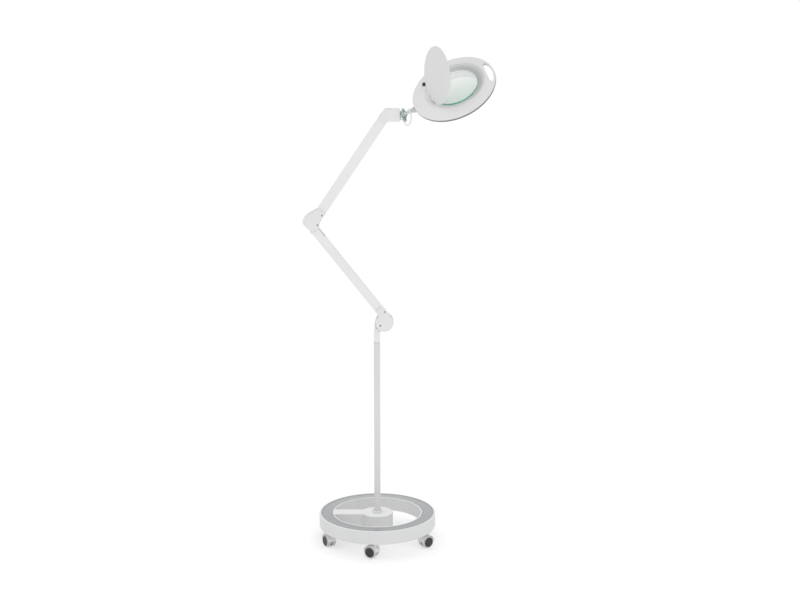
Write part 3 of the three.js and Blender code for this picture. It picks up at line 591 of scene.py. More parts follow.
def arc(cx, cz, r, a0, a1, n):
    return [(cx + r * math.cos((a0 + (a1 - a0) * i / n) * deg), cz + r * math.sin((a0 + (a1 - a0) * i / n) * deg)) for i in range(n + 1)]


def around(circles, n=48):
    """Convex outline around circles [x, z, r]."""
    pts = sorted({(round(x + r * math.cos(2 * math.pi * i / n), 5), round(z + r * math.sin(2 * math.pi * i / n), 5)) for x, z, r in circles for i in range(n)})

    def half(q):
        h = []
        for p in q:
            while len(h) > 1 and (h[-1][0] - h[-2][0]) * (p[1] - h[-2][1]) - (h[-1][1] - h[-2][1]) * (p[0] - h[-2][0]) <= 1e-9:
                h.pop()
            h.append(p)
        return h

    return half(pts)[:-1] + half(pts[::-1])[:-1]


def polar(p, r, a):
    return (p[0] + r * math.cos(a * deg), p[1] + r * math.sin(a * deg))


def screw(bm, p, out, r=2.6, h=1.3):
    """A cross-head screw standing on p, facing out, joined into bm."""
    b = turned([[0, -1.5], [r * 0.9, -1.5], [r, 0], [r, h * 0.45], [r * 0.86, h * 0.8], [r * 0.5, h], [0, h * 1.04]], 24)
    for a in (0, math.pi / 2):
        c = bmesh.new()
        bmesh.ops.create_cube(c, size=1)
        bmesh.ops.scale(c, vec=(r * 1.2, r * 0.24, 1.0), verts=c.verts)
        bmesh.ops.rotate(c, cent=(0, 0, 0), matrix=Matrix.Rotation(a + 0.5, 3, "Z"), verts=c.verts)
        bmesh.ops.translate(c, vec=(0, 0, h + 0.15), verts=c.verts)
        b = boolean(b, c)
    m = Matrix.Translation(Vector(p)) @ Vector(out).to_track_quat("Z", "Y").to_matrix().to_4x4()
    bmesh.ops.transform(b, matrix=m, verts=b.verts)
    return join(bm, b) if bm else b


# ------------------------------------------------------------------ base
RO, RI, Z0, Z1 = 172.0, 128.5, 46.5, 86.5
SEG = 192
ring = turned(
    [[RO - 2.2, Z0], [RO, Z0 + 3], [RO, Z1], [166.2, Z1], [166.2, Z1 - 4], [132.8, Z1 - 2.4], [132.8, Z1], [RI, Z1], [RI, Z0 + 2], [RI + 2, Z0],
     [RI + 3, Z0], [RI + 3, Z1 - 5.4], [RO - 3, Z1 - 7], [RO - 3, Z0]],
    SEG, radii=[0.8, 2.5, 1.6, 0.7, 0.5, 0.5, 0.7, 1.3, 1.5, 0.6, 0.3, 2, 2, 0.3], n=4)
hub = turned([[0, Z0 + 37], [43, Z0 + 37], [43, Z0], [46, Z0], [46, Z1], [0, Z1]], 96, radii=[0, 2, 0.4, 1, 1.8, 0], n=4)
W = 21.5
spoke = extrude(rounded([(-W, Z0), (W, Z0), (W, Z1 - 0.02), (-W, Z1 - 0.02), ], [0.6, 0.6, 2.0, 2.0], 4)[::1], -131.2, -36, "y", 0)
# turn the outline's plane: x of the outline runs along Y, its length along X
bmesh.ops.transform(spoke, matrix=Matrix(((0, 1, 0, 0), (1, 0, 0, 0), (0, 0, 1, 0), (0, 0, 0, 1))), verts=spoke.verts)
under = extrude([(-W + 3, Z0 - 3), (W - 3, Z0 - 3), (W - 3, Z1 - 5), (-W + 3, Z1 - 5)], -136, -30, "y", 0)
bmesh.ops.transform(under, matrix=Matrix(((0, 1, 0, 0), (1, 0, 0, 0), (0, 0, 1, 0), (0, 0, 0, 1))), verts=under.verts)
cover = boolean(boolean(ring, hub, "UNION"), spoke, "UNION")
cover = boolean(cover, under)
cover = boolean(cover, cyl(9.8, (0, 0, 76), (0, 0, 93), 64, 0))
piece("base_shell", cover, WHITE_BASE, "base", "base_cover")
# tread strip: a shallow crowned band with two fine edge beads
piece("base_tread", turned(
    [[133.2, Z1 - 2.1], [133.2, Z1 - 0.9], [133.9, Z1 - 0.2], [134.8, Z1 - 0.1], [135.4, Z1 - 0.45], [149, Z1 - 0.9], [163.4, Z1 - 1.85],
     [164.1, Z1 - 1.55], [165.1, Z1 - 1.7], [165.7, Z1 - 2.4], [165.7, Z1 - 3.5]], SEG, radii=0.25, n=2), TREAD, "base", "base_tread_ring")
piece("base_ballast", turned([[134, 50.9], [166.4, 50.9], [166.4, 77.5], [134, 77.5]], 96, radii=1.2, n=3), CAST, "base", "base_ballast_ring")
plate = turned([[132, 47.5], [168.5, 47.5], [168.5, 50.1], [132, 50.1]], 128, radii=0.4, n=2)
plate = boolean(plate, turned([[0, 47.5], [42.5, 47.5], [42.5, 50.1], [0, 50.1]], 64, radii=[0, .4, .4, 0], n=2), "UNION")
bar = extrude([(-18, 47.52), (18, 47.52), (18, 50.08), (-18, 50.08)], -136.5, -38, "y", 0)
bmesh.ops.transform(bar, matrix=Matrix(((0, 1, 0, 0), (1, 0, 0, 0), (0, 0, 1, 0), (0, 0, 0, 1))), verts=bar.verts)
plate = boolean(plate, bar, "UNION")
STEMS = [(151 * math.cos(a * deg), 151 * math.sin(a * deg)) for a in (-91.8, -27, 27, 88.2, 154.5, -154.5)]
for x, y in STEMS:
    plate = boolean(plate, cyl(4.7, (x, y, 40), (x, y, 60), 24, 0))
piece("base_plate", plate, STEEL, "base", "base_bottom_plate")
fix = None
for i in range(10):
    a = (10 + 36 * i) * deg
    fix = screw(fix, (140 * math.cos(a), 140 * math.sin(a), 47.5), (0, 0, -1), 3, 0.9)
for i in range(3):
    a = (30 + 120 * i) * deg
    fix = screw(fix, (32 * math.cos(a), 32 * math.sin(a), 47.5), (0, 0, -1), 3, 0.9)
piece("base_plate_screws", fix, SCREW, "base")
piece("pole_socket", turned(
    [[0, 50.5], [27, 50.5], [27, 53.9], [13.4, 55.1], [13.4, 82.9], [9.8, 82.9], [9.8, 54.7], [0, 54.7]], 64, radii=[0, .5, .5, 2, .4, .3, .2, 0], n=3), STEEL, "base", "hub_socket")
piece("pole_collar", turned(
    [[9.8, Z1 + 0.4], [15.5, Z1 + 0.4], [15.5, Z1 + 3.6], [13.2, Z1 + 6], [9.8, Z1 + 6]], 96, radii=[.1, .5, 1.2, .9, .4], n=4), WHITE, "base", "hub_collar")
piece("pole", turned([[8, 55.1], [9.5, 55.1], [9.5, 603], [8, 603]], 96, radii=[.1, .4, .4, .2], n=3), POLE, "base", "pole_tube")
piece("pole_bush", turned([[5.3, 566], [7.7, 566], [7.7, 603.3], [9.5, 603.3], [9.5, 605.6], [5.3, 605.6]], 64, radii=[.2, .4, .1, .4, .5, .2], n=3), NYLON, "base", "pole_top_bush")

# ------------------------------------------------------------------ casters
YAW = [152, 36, 30, 78, 165, 120]
WR_ = 18.0


def caster_house():
    """Hood over two wheels with a web between them, a stem and an axle."""
    c = (11, WR_)
    skin = extrude(arc(*c, WR_ + 2.9, 6, 174, 28) + arc(*c, WR_ + 1.2, 174, 6, 28), -13.6, 13.6, "y", 0.5, 2)
    web = extrude(arc(*c, WR_ + 2.7, 6, 174, 28) + arc(*c, 13, 188, 352, 16), -2.5, 2.5, "y", 0.4, 2)
    b = boolean(skin, web, "UNION")
    b = boolean(b, turned([[0, 35.8], [5.8, 35.8], [5.8, 45.9], [4.6, 45.9], [4, 46.9], [4, 62.4], [0, 62.4]], 32, radii=[0, .2, .8, .3, .3, .6, 0], n=3), "UNION")
    b = boolean(b, cyl(1.8, (11, -11.6, WR_), (11, 11.6, WR_), 24, 0.2), "UNION")
    return b


def caster_wheel():
    """Tyre with two grooves, and a dark dished disc with a raised boss on the outer face."""
    prof = [[0, 13.3], [3.2, 13.4], [4.2, 12.9], [9.4, 12.4], [11.4, 13.0], [12.6, 13.7], [14.0, 13.85], [14.4, 13.2], [14.7, 13.7],
            [17.1, 13.6], [18, 12.6], [18, 9.4], [17.5, 9.0], [18, 8.6], [18, 4.3], [17, 3.1], [15, 3], [13.6, 5], [4, 5], [2.4, 3], [2.1, 3], [2.1, 12], [0, 12]]
    return turned(prof, 64, radii=0.25, n=2, mat=lambda r, z: 1 if (r < 14.5 and z > 11.9) else 0)


HOUSE = caster_house()
WHEEL = caster_wheel()
for i, (x, y) in enumerate(STEMS):
    k = i + 1
    at = Matrix.Translation((x, y, 0)) @ Matrix.Rotation(YAW[i] * deg, 4, "Z")
    piece(f"caster_{k}_hood", HOUSE.copy(), CASTER, f"caster_{k}", f"caster_{k}_housing", at)
    for side, s in (("left", 1), ("right", -1)):
        w = at @ Matrix.Translation((11, 0, WR_)) @ Matrix.Rotation(-s * 90 * deg, 4, "X")
        piece(f"caster_{k}_tyre_{side}", WHEEL.copy(), [TYRE, DISC], f"caster_{k}_{side}_wheel", f"caster_{k}_wheel_{side}", w)

# ------------------------------------------------------------------ arms: shared places
A, C1, D1, W1, P = (22.7, 662.0), (-178.4, 934.0), (-169.0, 967.8), (28.5, 1260.5), (78.3, 1264.5)
LINK = 11.5
B, C2 = polar(A, LINK, 36), polar(C1, LINK, 36)
D2, W2 = polar(D1, LINK, 131), polar(W1, LINK, 131)


class Lean:
    """s runs up a leaning channel, p to its right."""

    def __init__(self, mid, angle):
        a = angle * deg
        self.m, self.d, self.r = mid, (math.sin(a), math.cos(a)), (math.cos(a), -math.sin(a))

    def at(self, s, p):
        return (self.m[0] + self.d[0] * s + self.r[0] * p, self.m[1] + self.d[1] * s + self.r[1] * p)

    def s(self, q):
        return (q[0] - self.m[0]) * self.d[0] + (q[1] - self.m[1]) * self.d[1]

    def matrix(self):
        """Takes (p, y, s) to the row frame."""
        return Matrix(((self.r[0], 0, self.d[0], self.m[0]), (0, 1, 0, 0), (self.r[1], 0, self.d[1], self.m[1]), (0, 0, 0, 1)))


LO, UP = Lean((-175.6, 933.7), -38.3), Lean((-136.4, 1020.6), 34)
HW, UW, CH, T = 12.2, 14.1, 12.0, 1.4
JC = (22.4, 664.5)


def channel(lean, s0, s1, hw, web, eyes, holes, slots, cut=()):
    """A folded channel: web on the +p or -p side, two cheeks with round eyes, and pressed holes."""
    o = 2.6
    sec = [(-web * hw, -CH), (web * hw, -CH), (web * hw, CH), (-web * hw, CH), (-web * hw, CH - T), (web * (hw - T), CH - T), (web * (hw - T), -CH + T), (-web * hw, -CH + T)]
    sec = rounded(sec, [0.4, o, o, 0.4, 0.4, o - T, o - T, 0.4], 5)
    b = extrude(sec, s0, s1, "z", 0.25, 2)
    bmesh.ops.transform(b, matrix=lean.matrix(), verts=b.verts)
    for outline in eyes:
        for y0, y1 in ((-CH, -CH + T), (CH - T, CH)):
            b = boolean(b, extrude(outline, y0, y1, "y", 0), "UNION")
    for x, z, r in holes:
        b = boolean(b, cyl(r, (x, -30, z), (x, 30, z), 40, 0))
    for a, e in cut:
        c = extrude([(-60, a), (60, a), (60, e), (-60, e)], -CH + T, CH - T, "y", 0)
        bmesh.ops.transform(c, matrix=lean.matrix(), verts=c.verts)
        b = boolean(b, c)
    for (s, length) in slots:
        c = extrude(rounded([(-3, s), (3, s), (3, s + length), (-3, s + length)], 2.9, 6), -hw - 8, hw + 8, "y", 0)
        # a slot through the web: outline in y and s, pulled along p
        bmesh.ops.transform(c, matrix=lean.matrix() @ Matrix(((0, 1, 0, 0), (1, 0, 0, 0), (0, 0, 1, 0), (0, 0, 0, 1))), verts=c.verts)
        b = boolean(b, c)
    return b


def coil(lean, s0, s1, p, y, r=4.0, wire=0.62, pitch=2.1):
    """A close-wound spring with a hook at each end."""
    turns = int((s1 - s0 - 24) / pitch)
    a = s0 + (s1 - s0 - turns * pitch) / 2
    pts = [(p, y, s0)] + [(p, y, a - 6)]
    pts += [(p + r * math.cos(2 * math.pi * t / 14), y + r * math.sin(2 * math.pi * t / 14), a + pitch * t / 14) for t in range(turns * 14 + 1)]
    pts += [(p, y, a + turns * pitch + 6), (p, y, s1)]
    b = sweep(pts, wire, 6)
    bmesh.ops.transform(b, matrix=lean.matrix(), verts=b.verts)
    return b


def bolt(name, p, y0, y1, body, node, r=3.0):
    b = cyl(r, (p[0], y0, p[1]), (p[0], y1, p[1]), 32, 0.4)
    for s in (y0, y1):
        k = 1 if s > 0 else -1
        b = join(b, cyl(r * 0.45, (p[0], s - k * 0.2, p[1]), (p[0], s + k * 0.15, p[1]), 20, 0.1))
    piece(name, b, STEEL, body, node)


# knuckle
stem = turned([[0, 568], [5, 568], [5, 605.9], [9.5, 605.9], [9.5, 630], [0, 630]], 64, radii=[0, .5, .1, .7, .5, 0], n=4)
neck = extrude(rounded([(-9.3, 626), (-8.4, 640), (-6.1, 664), (-2.6, 677), (2.3, 685.4), (8, 688), (14, 683), (18, 668), (16, 648), (9.3, 634), (9.3, 626)], 4, 4), -5.2, 5.2, "y", 1.0)
foot = extrude(rounded([(-9.3, 620), (-8.8, 637), (-2, 648), (6, 646), (9.3, 636), (9.3, 620)], 3, 4), -8.2, 8.2, "y", 1.4)
eye = extrude(around([[*A, 13], [*B, 5], [8, 668, 10]]), -5.2, 5.2, "y", 0.9)
k = boolean(boolean(boolean(stem, foot, "UNION"), neck, "UNION"), eye, "UNION")
k = boolean(k, cyl(2, (B[0], 4, B[1]), (B[0], 9.4, B[1]), 24, 0.4), "UNION")
k = boolean(k, cyl(3.3, (A[0], -20, A[1]), (A[0], 20, A[1]), 32, 0))
piece("knuckle", k, PAINT, "knuckle", "knuckle_bracket")
bolt("lower_pivot", A, -12.1, 12.1, "knuckle", "lower_pivot_bolt")
piece("cord_bush", turned([[0, 8.6], [4.0, 8.6], [4.6, 10.4], [4.6, 11.2], [3.7, 13.2], [2.4, 13.4], [2.2, 12.4], [0, 12.2]], 32, radii=0.2, n=2),
      BLACK, "knuckle", "cord_grommet", Matrix.Translation((0, 0, 618)) @ Matrix.Rotation(-90 * deg, 4, "X"))

# lower arm
sA, sC = LO.s(A), LO.s(C1)
lo_eyes = [around([[*A, 22]], 96), around([[*C1, 12.6], [*LO.at(sC, 1), 12.2]])]
piece("lower_arm", channel(LO, sA + 2, sC - 4, HW, 1, lo_eyes, [(*A, 3.3), (*C1, 3.3)], [], [(sC - 34, sC + 40), (sA - 40, sA + 4)]), PAINT, "lower_arm", "lower_arm_channel")


def shell_cover(outline, side, name, body, node, inner=None, dots=(), face=0.0):
    """A moulded cover: a thin plate with a soft rim, and screws."""
    y0, y1 = (-CH - 3.3, -CH - 0.3) if side < 0 else (CH + 0.3, CH + 3.3)
    b = extrude(outline, y0, y1, "y", 1.15, 4)
    out = y0 if side < 0 else y1
    for x, z, r in dots:
        b = boolean(b, cyl(r + 0.6, (x, out - 0.9 * side, z), (x, out + 3 * side, z), 28, 0))
    piece(name, b, COVER, body, node)
    if dots:
        s = None
        for x, z, r in dots:
            s = screw(s, (x, out - 0.9 * side, z), (0, side, 0), r, 1.0)
        piece(name + "_screws", s, SCREW, body)


def disc_and_tail():
    """A disc round JC with a tail as wide as the channel, running up it."""
    r = 26.0
    pc = (JC[0] - LO.m[0]) * LO.r[0] + (JC[1] - LO.m[1]) * LO.r[1]
    sc = LO.s(JC)
    ends = []
    for p in (-HW, HW):
        q = LO.at(sc + math.sqrt(r * r - (p - pc) ** 2), p) if abs(p - pc) < r else LO.at(sc, p)
        ends.append(math.degrees(math.atan2(q[1] - JC[1], q[0] - JC[0])))
    left, right = ends[0] % 360, ends[1] % 360
    span = (right - left) % 360
    arcs = arc(*JC, r, left, left + span, 96)
    tail = rounded([arcs[-1], LO.at(sA + 42, HW), LO.at(sA + 46, HW - 4), LO.at(sA + 46, -HW + 4), LO.at(sA + 42, -HW), arcs[0]], [0, 2, 3, 3, 2, 0], 4)
    return arcs + tail[1:-1]


lo_cover = disc_and_tail()
shell_cover(lo_cover, -1, "lower_cover_front", "lower_arm", "lower_joint_cover_front", dots=[(23.2, 697.2, 1.9), (10.2, 656.5, 2.1)])
shell_cover(lo_cover, 1, "lower_cover_back", "lower_arm", "lower_joint_cover_back", dots=[(23.2, 697.2, 1.9), (10.2, 656.5, 2.1)])


def link(name, p, q, body, node):
    b = extrude(around([[*p, 2.2], [*q, 2.2]], 24), 6.0, 8.6, "y", 0.4, 2)
    for e in (p, q):
        b = boolean(b, extrude(around([[*e, 4.4]], 40), 5.9, 8.7, "y", 0.4, 2), "UNION")
    for e in (p, q):
        b = boolean(b, cyl(2.3, (e[0], 0, e[1]), (e[0], 20, e[1]), 24, 0))
    piece(name, b, STEEL, body, node)


link("lower_link_bar", B, C2, "lower_link", "lower_arm_link")
piece("lower_spring", coil(LO, sA + 60, sA + 297, -3, -4.4), SPRING, "lower_arm", "lower_arm_spring")

# elbow
body = extrude(around([[*C1, 8], [*C2, 4.4], [*D1, 8], [*D2, 4.4]]), -5.2, 5.2, "y", 0.8)
for q in (C2, D2):
    body = boolean(body, cyl(2, (q[0], 4, q[1]), (q[0], 9.4, q[1]), 24, 0.4), "UNION")
for q in (C1, D1):
    body = boolean(body, cyl(3.3, (q[0], -20, q[1]), (q[0], 20, q[1]), 32, 0))
piece("elbow_core", body, PAINT, "elbow", "elbow_bracket")
bolt("elbow_pivot_lower", C1, -12.1, 12.1, "elbow", "elbow_bolt_lower")
bolt("elbow_pivot_upper", D1, -12.1, 12.1, "elbow", "elbow_bolt_upper")
ELBOW = rounded([(-204.3, 946.6), (-208.3, 951), (-211.2, 957), (-210, 964.9), (-205, 972), (-196.6, 980.3), (-185.9, 986.4), (-176.9, 991.7), (-167.2, 998),
                 (-146.5, 984), (-156, 967.6), (-161.8, 959.8), (-165.2, 953), (-164.5, 946), (-169, 938), (-185.2, 929)], [3] * 8 + [3, 3, 6, 6, 6, 3, 4, 4], 5)
for side, tag in ((-1, "front"), (1, "back")):
    shell_cover(ELBOW, side, f"elbow_shell_{tag}", "elbow", f"elbow_cover_{tag}", dots=[(-155.5, 978, 1.9), (-168.5, 950.6, 1.9)])

# upper arm
sD, sW = UP.s(D1), UP.s(W1)
up_eyes = [around([[*D1, 12.4], [*UP.at(sD, -1), 11.6]]), around([[*W1, 12.6], [*UP.at(sW, -1), 11.6]])]
piece("upper_arm", channel(UP, sD + 4, sW - 4, UW, -1, up_eyes, [(*D1, 3.3), (*W1, 3.3)], [], [(sD - 40, sD + 14), (sW - 14, sW + 40)]), PAINT, "upper_arm", "upper_arm_channel")
link("upper_link_bar", D2, W2, "upper_link", "upper_arm_link")
piece("upper_spring", coil(UP, sD + 60, sD + 317, 3, -4.4), SPRING, "upper_arm", "upper_arm_spring")
for nm, lean, s, p in (("lower", LO, sA + 300, -2), ("upper", UP, sD + 320, 2)):
    q = lean.at(s, p)
    piece(f"{nm}_spring_pin", cyl(2, (q[0], -11.6, q[1]), (q[0], 11.6, q[1]), 24, 0.4), STEEL, f"{nm}_arm")

# wrist
blk = extrude(rounded([(44.5, 1244.7), (67, 1244.7), (67, 1280.4), (44.5, 1280.4)], 1.6, 4), -CH, CH, "y", 1.2, 3)
tongue = extrude(around([[*W1, 8], [*W2, 4.4], [46, 1258, 4], [46, 1272, 4]]), -5.2, 5.2, "y", 0.8)
ears = extrude(around([[*P, 9], [62, P[1], 9]]), -9, 9, "y", 1.0)
gap = extrude(around([[*P, 9.6], [92, P[1], 12]]), -4.9, 4.9, "y", 0)
ears = boolean(ears, gap)
w = boolean(boolean(blk, tongue, "UNION"), ears, "UNION")
w = boolean(w, cyl(2, (W2[0], 4, W2[1]), (W2[0], 9.4, W2[1]), 24, 0.4), "UNION")
for q in (W1, P):
    w = boolean(w, cyl(3.3, (q[0], -20, q[1]), (q[0], 20, q[1]), 32, 0))
piece("wrist_body", w, PAINT, "wrist", "wrist_block")
bolt("wrist_pivot", W1, -12.1, 12.1, "wrist", "wrist_pivot_bolt")
WR = rounded([(66.9, 1244.5), (66.9, 1280.4), (26, 1280.4), (21.5, 1277), (7, 1256.6), (8, 1251.8), (23, 1241), (27.5, 1239.8), (31.5, 1242.6), (36, 1244.5)], [2, 2, 3, 3, 4, 3, 3, 3, 3, 3], 4)
for side, tag in ((-1, "front"), (1, "back")):
    shell_cover(WR, side, f"wrist_shell_{tag}", "wrist", f"wrist_cover_{tag}", dots=[(58.5, 1272.6, 1.7)] if side > 0 else ())
piece("cable_gland", turned([[0, 0], [3.5, 0], [3.5, 1.2], [2.9, 1.5], [3.2, 2.3], [2.8, 3.9], [0, 3.9]], 32, radii=0.2, n=2), WHITE, "wrist", (),
      Matrix.Translation((67.4, 0, 1250.6)) @ Matrix.Rotation(90 * deg, 4, "Y"))


# wing bolt: boss, shaft and two swept wings
def wing_bolt():
    b = turned([[0, -11.6], [3, -11.6], [3, 9.4], [9.6, 9.4], [9.6, 17.4], [8.2, 17.8], [8.2, 22.4], [5, 23], [0, 22.6]], 64, radii=[0, .4, .2, .8, .8, .3, 1.0, .5, 0], n=4)
    bmesh.ops.transform(b, matrix=Matrix.Rotation(90 * deg, 4, "X"), verts=b.verts)
    for s in (1, -1):
        o = [(s * 3.6, s * 3.0), (s * -6.0, s * 4.0), (s * -5.4, s * 16.5), (s * -3.2, s * 19.4), (s * 0.6, s * 19.4), (s * 3.4, s * 16.5), (s * 6.4, s * 5.4)]
        b = boolean(b, extrude(rounded(o, [1, 2, 3, 2.6, 2.6, 3, 1.5], 5), -21.8, -17.9, "y", 1.3, 3), "UNION")
    bmesh.ops.rotate(b, cent=(0, 0, 0), matrix=Matrix.Rotation(-7 * deg, 3, "Y"), verts=b.verts)
    bmesh.ops.translate(b, vec=(P[0], 0, P[1]), verts=b.verts)
    return b


piece("wing_screw", wing_bolt(), CHROME, "clamp_screw", "wing_bolt", sharp=50)

# neck and lead
PITCH, ROLL = 25.1 * deg, 35.2 * deg
NECK = Matrix.Translation((P[0], 0, P[1])) @ Matrix.Rotation(-PITCH, 4, "Y")
turn_x = Matrix.Rotation(90 * deg, 4, "Y")          # z of a turned piece to x
nb = extrude(around([[0, 0, 8.4]], 64), -4.6, 4.6, "y", 0.7)
shaft = turned([[0, 5], [4.9, 5], [4.9, 13.9], [8, 13.9], [8, 21.9], [3, 21.9], [3, 27.2], [0, 27.2]], 64, radii=[0, .2, .4, 1.1, 1.3, .3, .6, 0], n=4)
bmesh.ops.transform(shaft, matrix=turn_x, verts=shaft.verts)
nb = boolean(nb, shaft, "UNION")
nb = boolean(nb, cyl(3.3, (0, -20, 0), (0, 20, 0), 32, 0))
piece("neck", nb, PAINT, "neck", "neck_rod", NECK)
route = smooth_path([(72.7, 0, 1250.3), (76, 0, 1247.4), (80, 0, 1240.6), (84, 0, 1235), (88.6, 0, 1233.2), (93, 0, 1235.2),
                     (96.2, 0, 1240.4), (98.4, 0, 1248), (99.2, 0, 1256.4), (98.6, 0, 1264.2)], 8)
lead = piece("neck_lead", sweep(route, 1.9, 16), CABLE, "neck", ())
lead.parent = None
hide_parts("neck_cable")
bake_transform(lead)

# ------------------------------------------------------------------ head
U0 = 5.4
HEAD = NECK @ Matrix.Translation((157.3, -6.3 * math.sin(ROLL), 6.3 * math.cos(ROLL))) @ Matrix.Rotation(ROLL, 4, "X")


LENS_MID = HEAD @ Vector((U0, 0, 3)) * 0.001
FAR = (HEAD.to_3x3() @ Vector((0, 1, 0))).normalized()
GLASS, CLEAR, EDGE = glass(LENS_MID, FAR, 0.6), glass(LENS_MID, FAR, 0.05), glass_edge(LENS_MID, FAR)


def recess_shaded_white():
    """The head's white, with painted shade: greyer inside the dished recess round the lens."""
    m = WHITE.copy()
    m.name = "head_white_painted_shade"
    t = m.node_tree
    p = t.nodes["Principled BSDF"]
    old = p.inputs["Base Color"].links[0].from_socket
    co = t.nodes.new("ShaderNodeTexCoord").outputs["Object"]
    d = t.nodes.new("ShaderNodeVectorMath")
    d.operation = "DISTANCE"
    t.links.new(co, d.inputs[0])
    d.inputs[1].default_value = LENS_MID
    r = t.nodes.new("ShaderNodeMapRange")
    r.inputs["From Min"].default_value, r.inputs["From Max"].default_value = 0.076, 0.0895
    t.links.new(d.outputs["Value"], r.inputs["Value"])
    n = t.nodes.new("ShaderNodeTexNoise")
    n.inputs["Scale"].default_value = 40
    t.links.new(co, n.inputs["Vector"])
    g = t.nodes.new("ShaderNodeMix")
    g.data_type = "RGBA"
    t.links.new(n.outputs["Fac"], g.inputs[0])
    # the two greys of the painted shade, drifting with noise
    g.inputs[6].default_value, g.inputs[7].default_value = (0.45, 0.468, 0.462, 1), (0.51, 0.528, 0.522, 1)
    # painted shade: darkest on the handle's side, fading out where the neck's side falls away
    v = t.nodes.new("ShaderNodeVectorMath")
    v.operation = "SUBTRACT"
    t.links.new(co, v.inputs[0])
    v.inputs[1].default_value = LENS_MID
    dot = t.nodes.new("ShaderNodeVectorMath")
    dot.operation = "DOT_PRODUCT"
    t.links.new(v.outputs[0], dot.inputs[0])
    dot.inputs[1].default_value = (HEAD.to_3x3() @ Vector((0.95, 0.3, 0))).normalized()
    k = t.nodes.new("ShaderNodeMapRange")
    k.inputs["From Min"].default_value, k.inputs["From Max"].default_value = 0.06, -0.02
    t.links.new(dot.outputs["Value"], k.inputs["Value"])
    both = t.nodes.new("ShaderNodeMath")
    both.operation = "MAXIMUM"
    t.links.new(r.outputs[0], both.inputs[0])
    t.links.new(k.outputs[0], both.inputs[1])
    x = t.nodes.new("ShaderNodeMix")
    x.data_type = "RGBA"
    t.links.new(both.outputs[0], x.inputs[0])
    t.links.new(g.outputs[2], x.inputs[6])
    t.links.new(old, x.inputs[7])
    t.links.new(x.outputs[2], p.inputs["Base Color"])
    return m


def cx(r, z):
    return float(np.interp(r, [87.6, 92, 98, 106, 114], [U0, 4, 2.4, 0.8, 0]))


def fine(pts, per=4):
    return [tuple(q[:2]) for q in smooth_path([(p[0], p[1], 0) for p in pts], per)]


def slot_outline(grow, n=40):
    r, v, u = 118 + grow, 45 + grow, 100 - grow
    a = math.degrees(math.asin((v - 6) / r))
    return rounded([(u, -v + 3), (u, v - 3), (u + 7, v)] + arc(0, 0, r, a, -a, n) + [(u + 7, -v)], [6, 6, 5] + [0] + [0] * (n - 1) + [0, 5], 6)


HS = 160
dome = fine([(120.5, 2.7), (118, 3.9), (114, 5.2), (106, 7.6), (98, 9.3), (92, 10), (88.6, 10.15)], 4)
bowl = fine([(82.4, 7.75), (80.2, 7.1), (77.5, 5.9), (74, 4.4), (70.5, 3.0), (67.6, 2.0), (66.2, 1.7)], 4)
under_side = fine([(75, 2), (81.4, 4.9), (86, 5.4), (91, 7.4), (98, 6.8), (106, 5.1), (113, 2.9), (118.2, 0.8)], 3)
prof = [(121, -2.4), (121, 1.75), (122.9, 1.75), (123.2, 2.1), (123.0, 2.5), (122, 2.72)] + dome + [(87.4, 9.95), (86.8, 9.3), (86.8, 8.2), (86.3, 7.9), (84.5, 7.82)] + bowl + \
       [(66, 1.4), (66, 0.9), (67.8, 0.9), (67.8, -9), (70.2, -9), (70.2, 0.2)] + under_side + [(118.4, -2.4)]
upper = turned(prof, HS, cx)
skirt = extrude(slot_outline(2), -2.4, 12, "z", 0)
core = turned([(60, -2.4), (121, -2.4), (121, 1.75)] + dome[::1] + [(87, 9.9), (60, 9.9)], HS, cx)
skirt = boolean(skirt, core, "INTERSECT")
upper = boolean(upper, skirt, "UNION")
upper = boolean(upper, extrude(slot_outline(0), -60, 60, "z", 0))
SW = (-71, 58)
upper = boolean(upper, cyl(7, (*SW, -5), (*SW, 20), 48, 0))


def dome_z(x, y):
    r = math.hypot(x, y)
    for _ in range(4):
        r = math.hypot(x - cx(r, 0), y)
    d = sorted([(p[0], p[1]) for p in dome] + [(121, 1.7), (87.4, 10.0)])
    return float(np.interp(r, [p[0] for p in d], [p[1] for p in d]))


lip = slot_outline(0.15)
bead = [(x, y, dome_z(x, y) - 0.55) for x, y in lip]
upper = join(upper, sweep(bead, 0.95, 10, closed=True))
piece("head_top", upper, recess_shaded_white(), "head", "head_upper_shell", HEAD)

outer = fine([(120.9, -3.9), (117, -5.9), (110, -7.5), (102, -9), (98.6, -10.6), (96.4, -14), (94.6, -22), (92.8, -24.2), (91, -25)], 4)
inner = [(81.5, -25), (81.5, -22.7), (90.8, -22.7), (92.4, -21.2), (94, -14.2), (96.4, -9.8), (100.4, -7.6), (109.6, -5.8), (115.6, -4.5), (118.2, -3.9), (119.5, -3.8)]


def cx2(r, z):
    return U0 if r < 82 else 0.0


low = turned(outer + inner, HS, cx2)
wall = extrude(slot_outline(2), -30, -3.2, "z", 0)
solid = turned([(0, -25)] + outer[::-1] + [(0, -3.2)], HS)
wall = boolean(wall, solid, "INTERSECT")
low = boolean(low, wall, "UNION")
low = boolean(low, extrude(slot_outline(0), -60, 60, "z", 0))
piece("head_bottom", low, WHITE, "head", "head_lower_shell", HEAD)
fix = None
for a in (20, 75, 135, 180 + 45, 285, 340):
    fix = screw(fix, (U0 * 0 + 88.2 * math.cos(a * deg), 88.2 * math.sin(a * deg), -24.9), (0, 0, -1), 2.2, 0.9)
piece("head_bottom_screws", fix, SCREW, "head", at=HEAD)
piece("head_rim", turned([[121.3, -4.2], [122.4, -4.2], [122.95, -3.2], [123.25, -2.2], [123.25, 1.4], [123.0, 1.6], [121.3, 1.6]], HS, radii=[.1, .4, .3, .3, .2, .1, .1], n=3), RIM, "head", "rim_trim", HEAD)


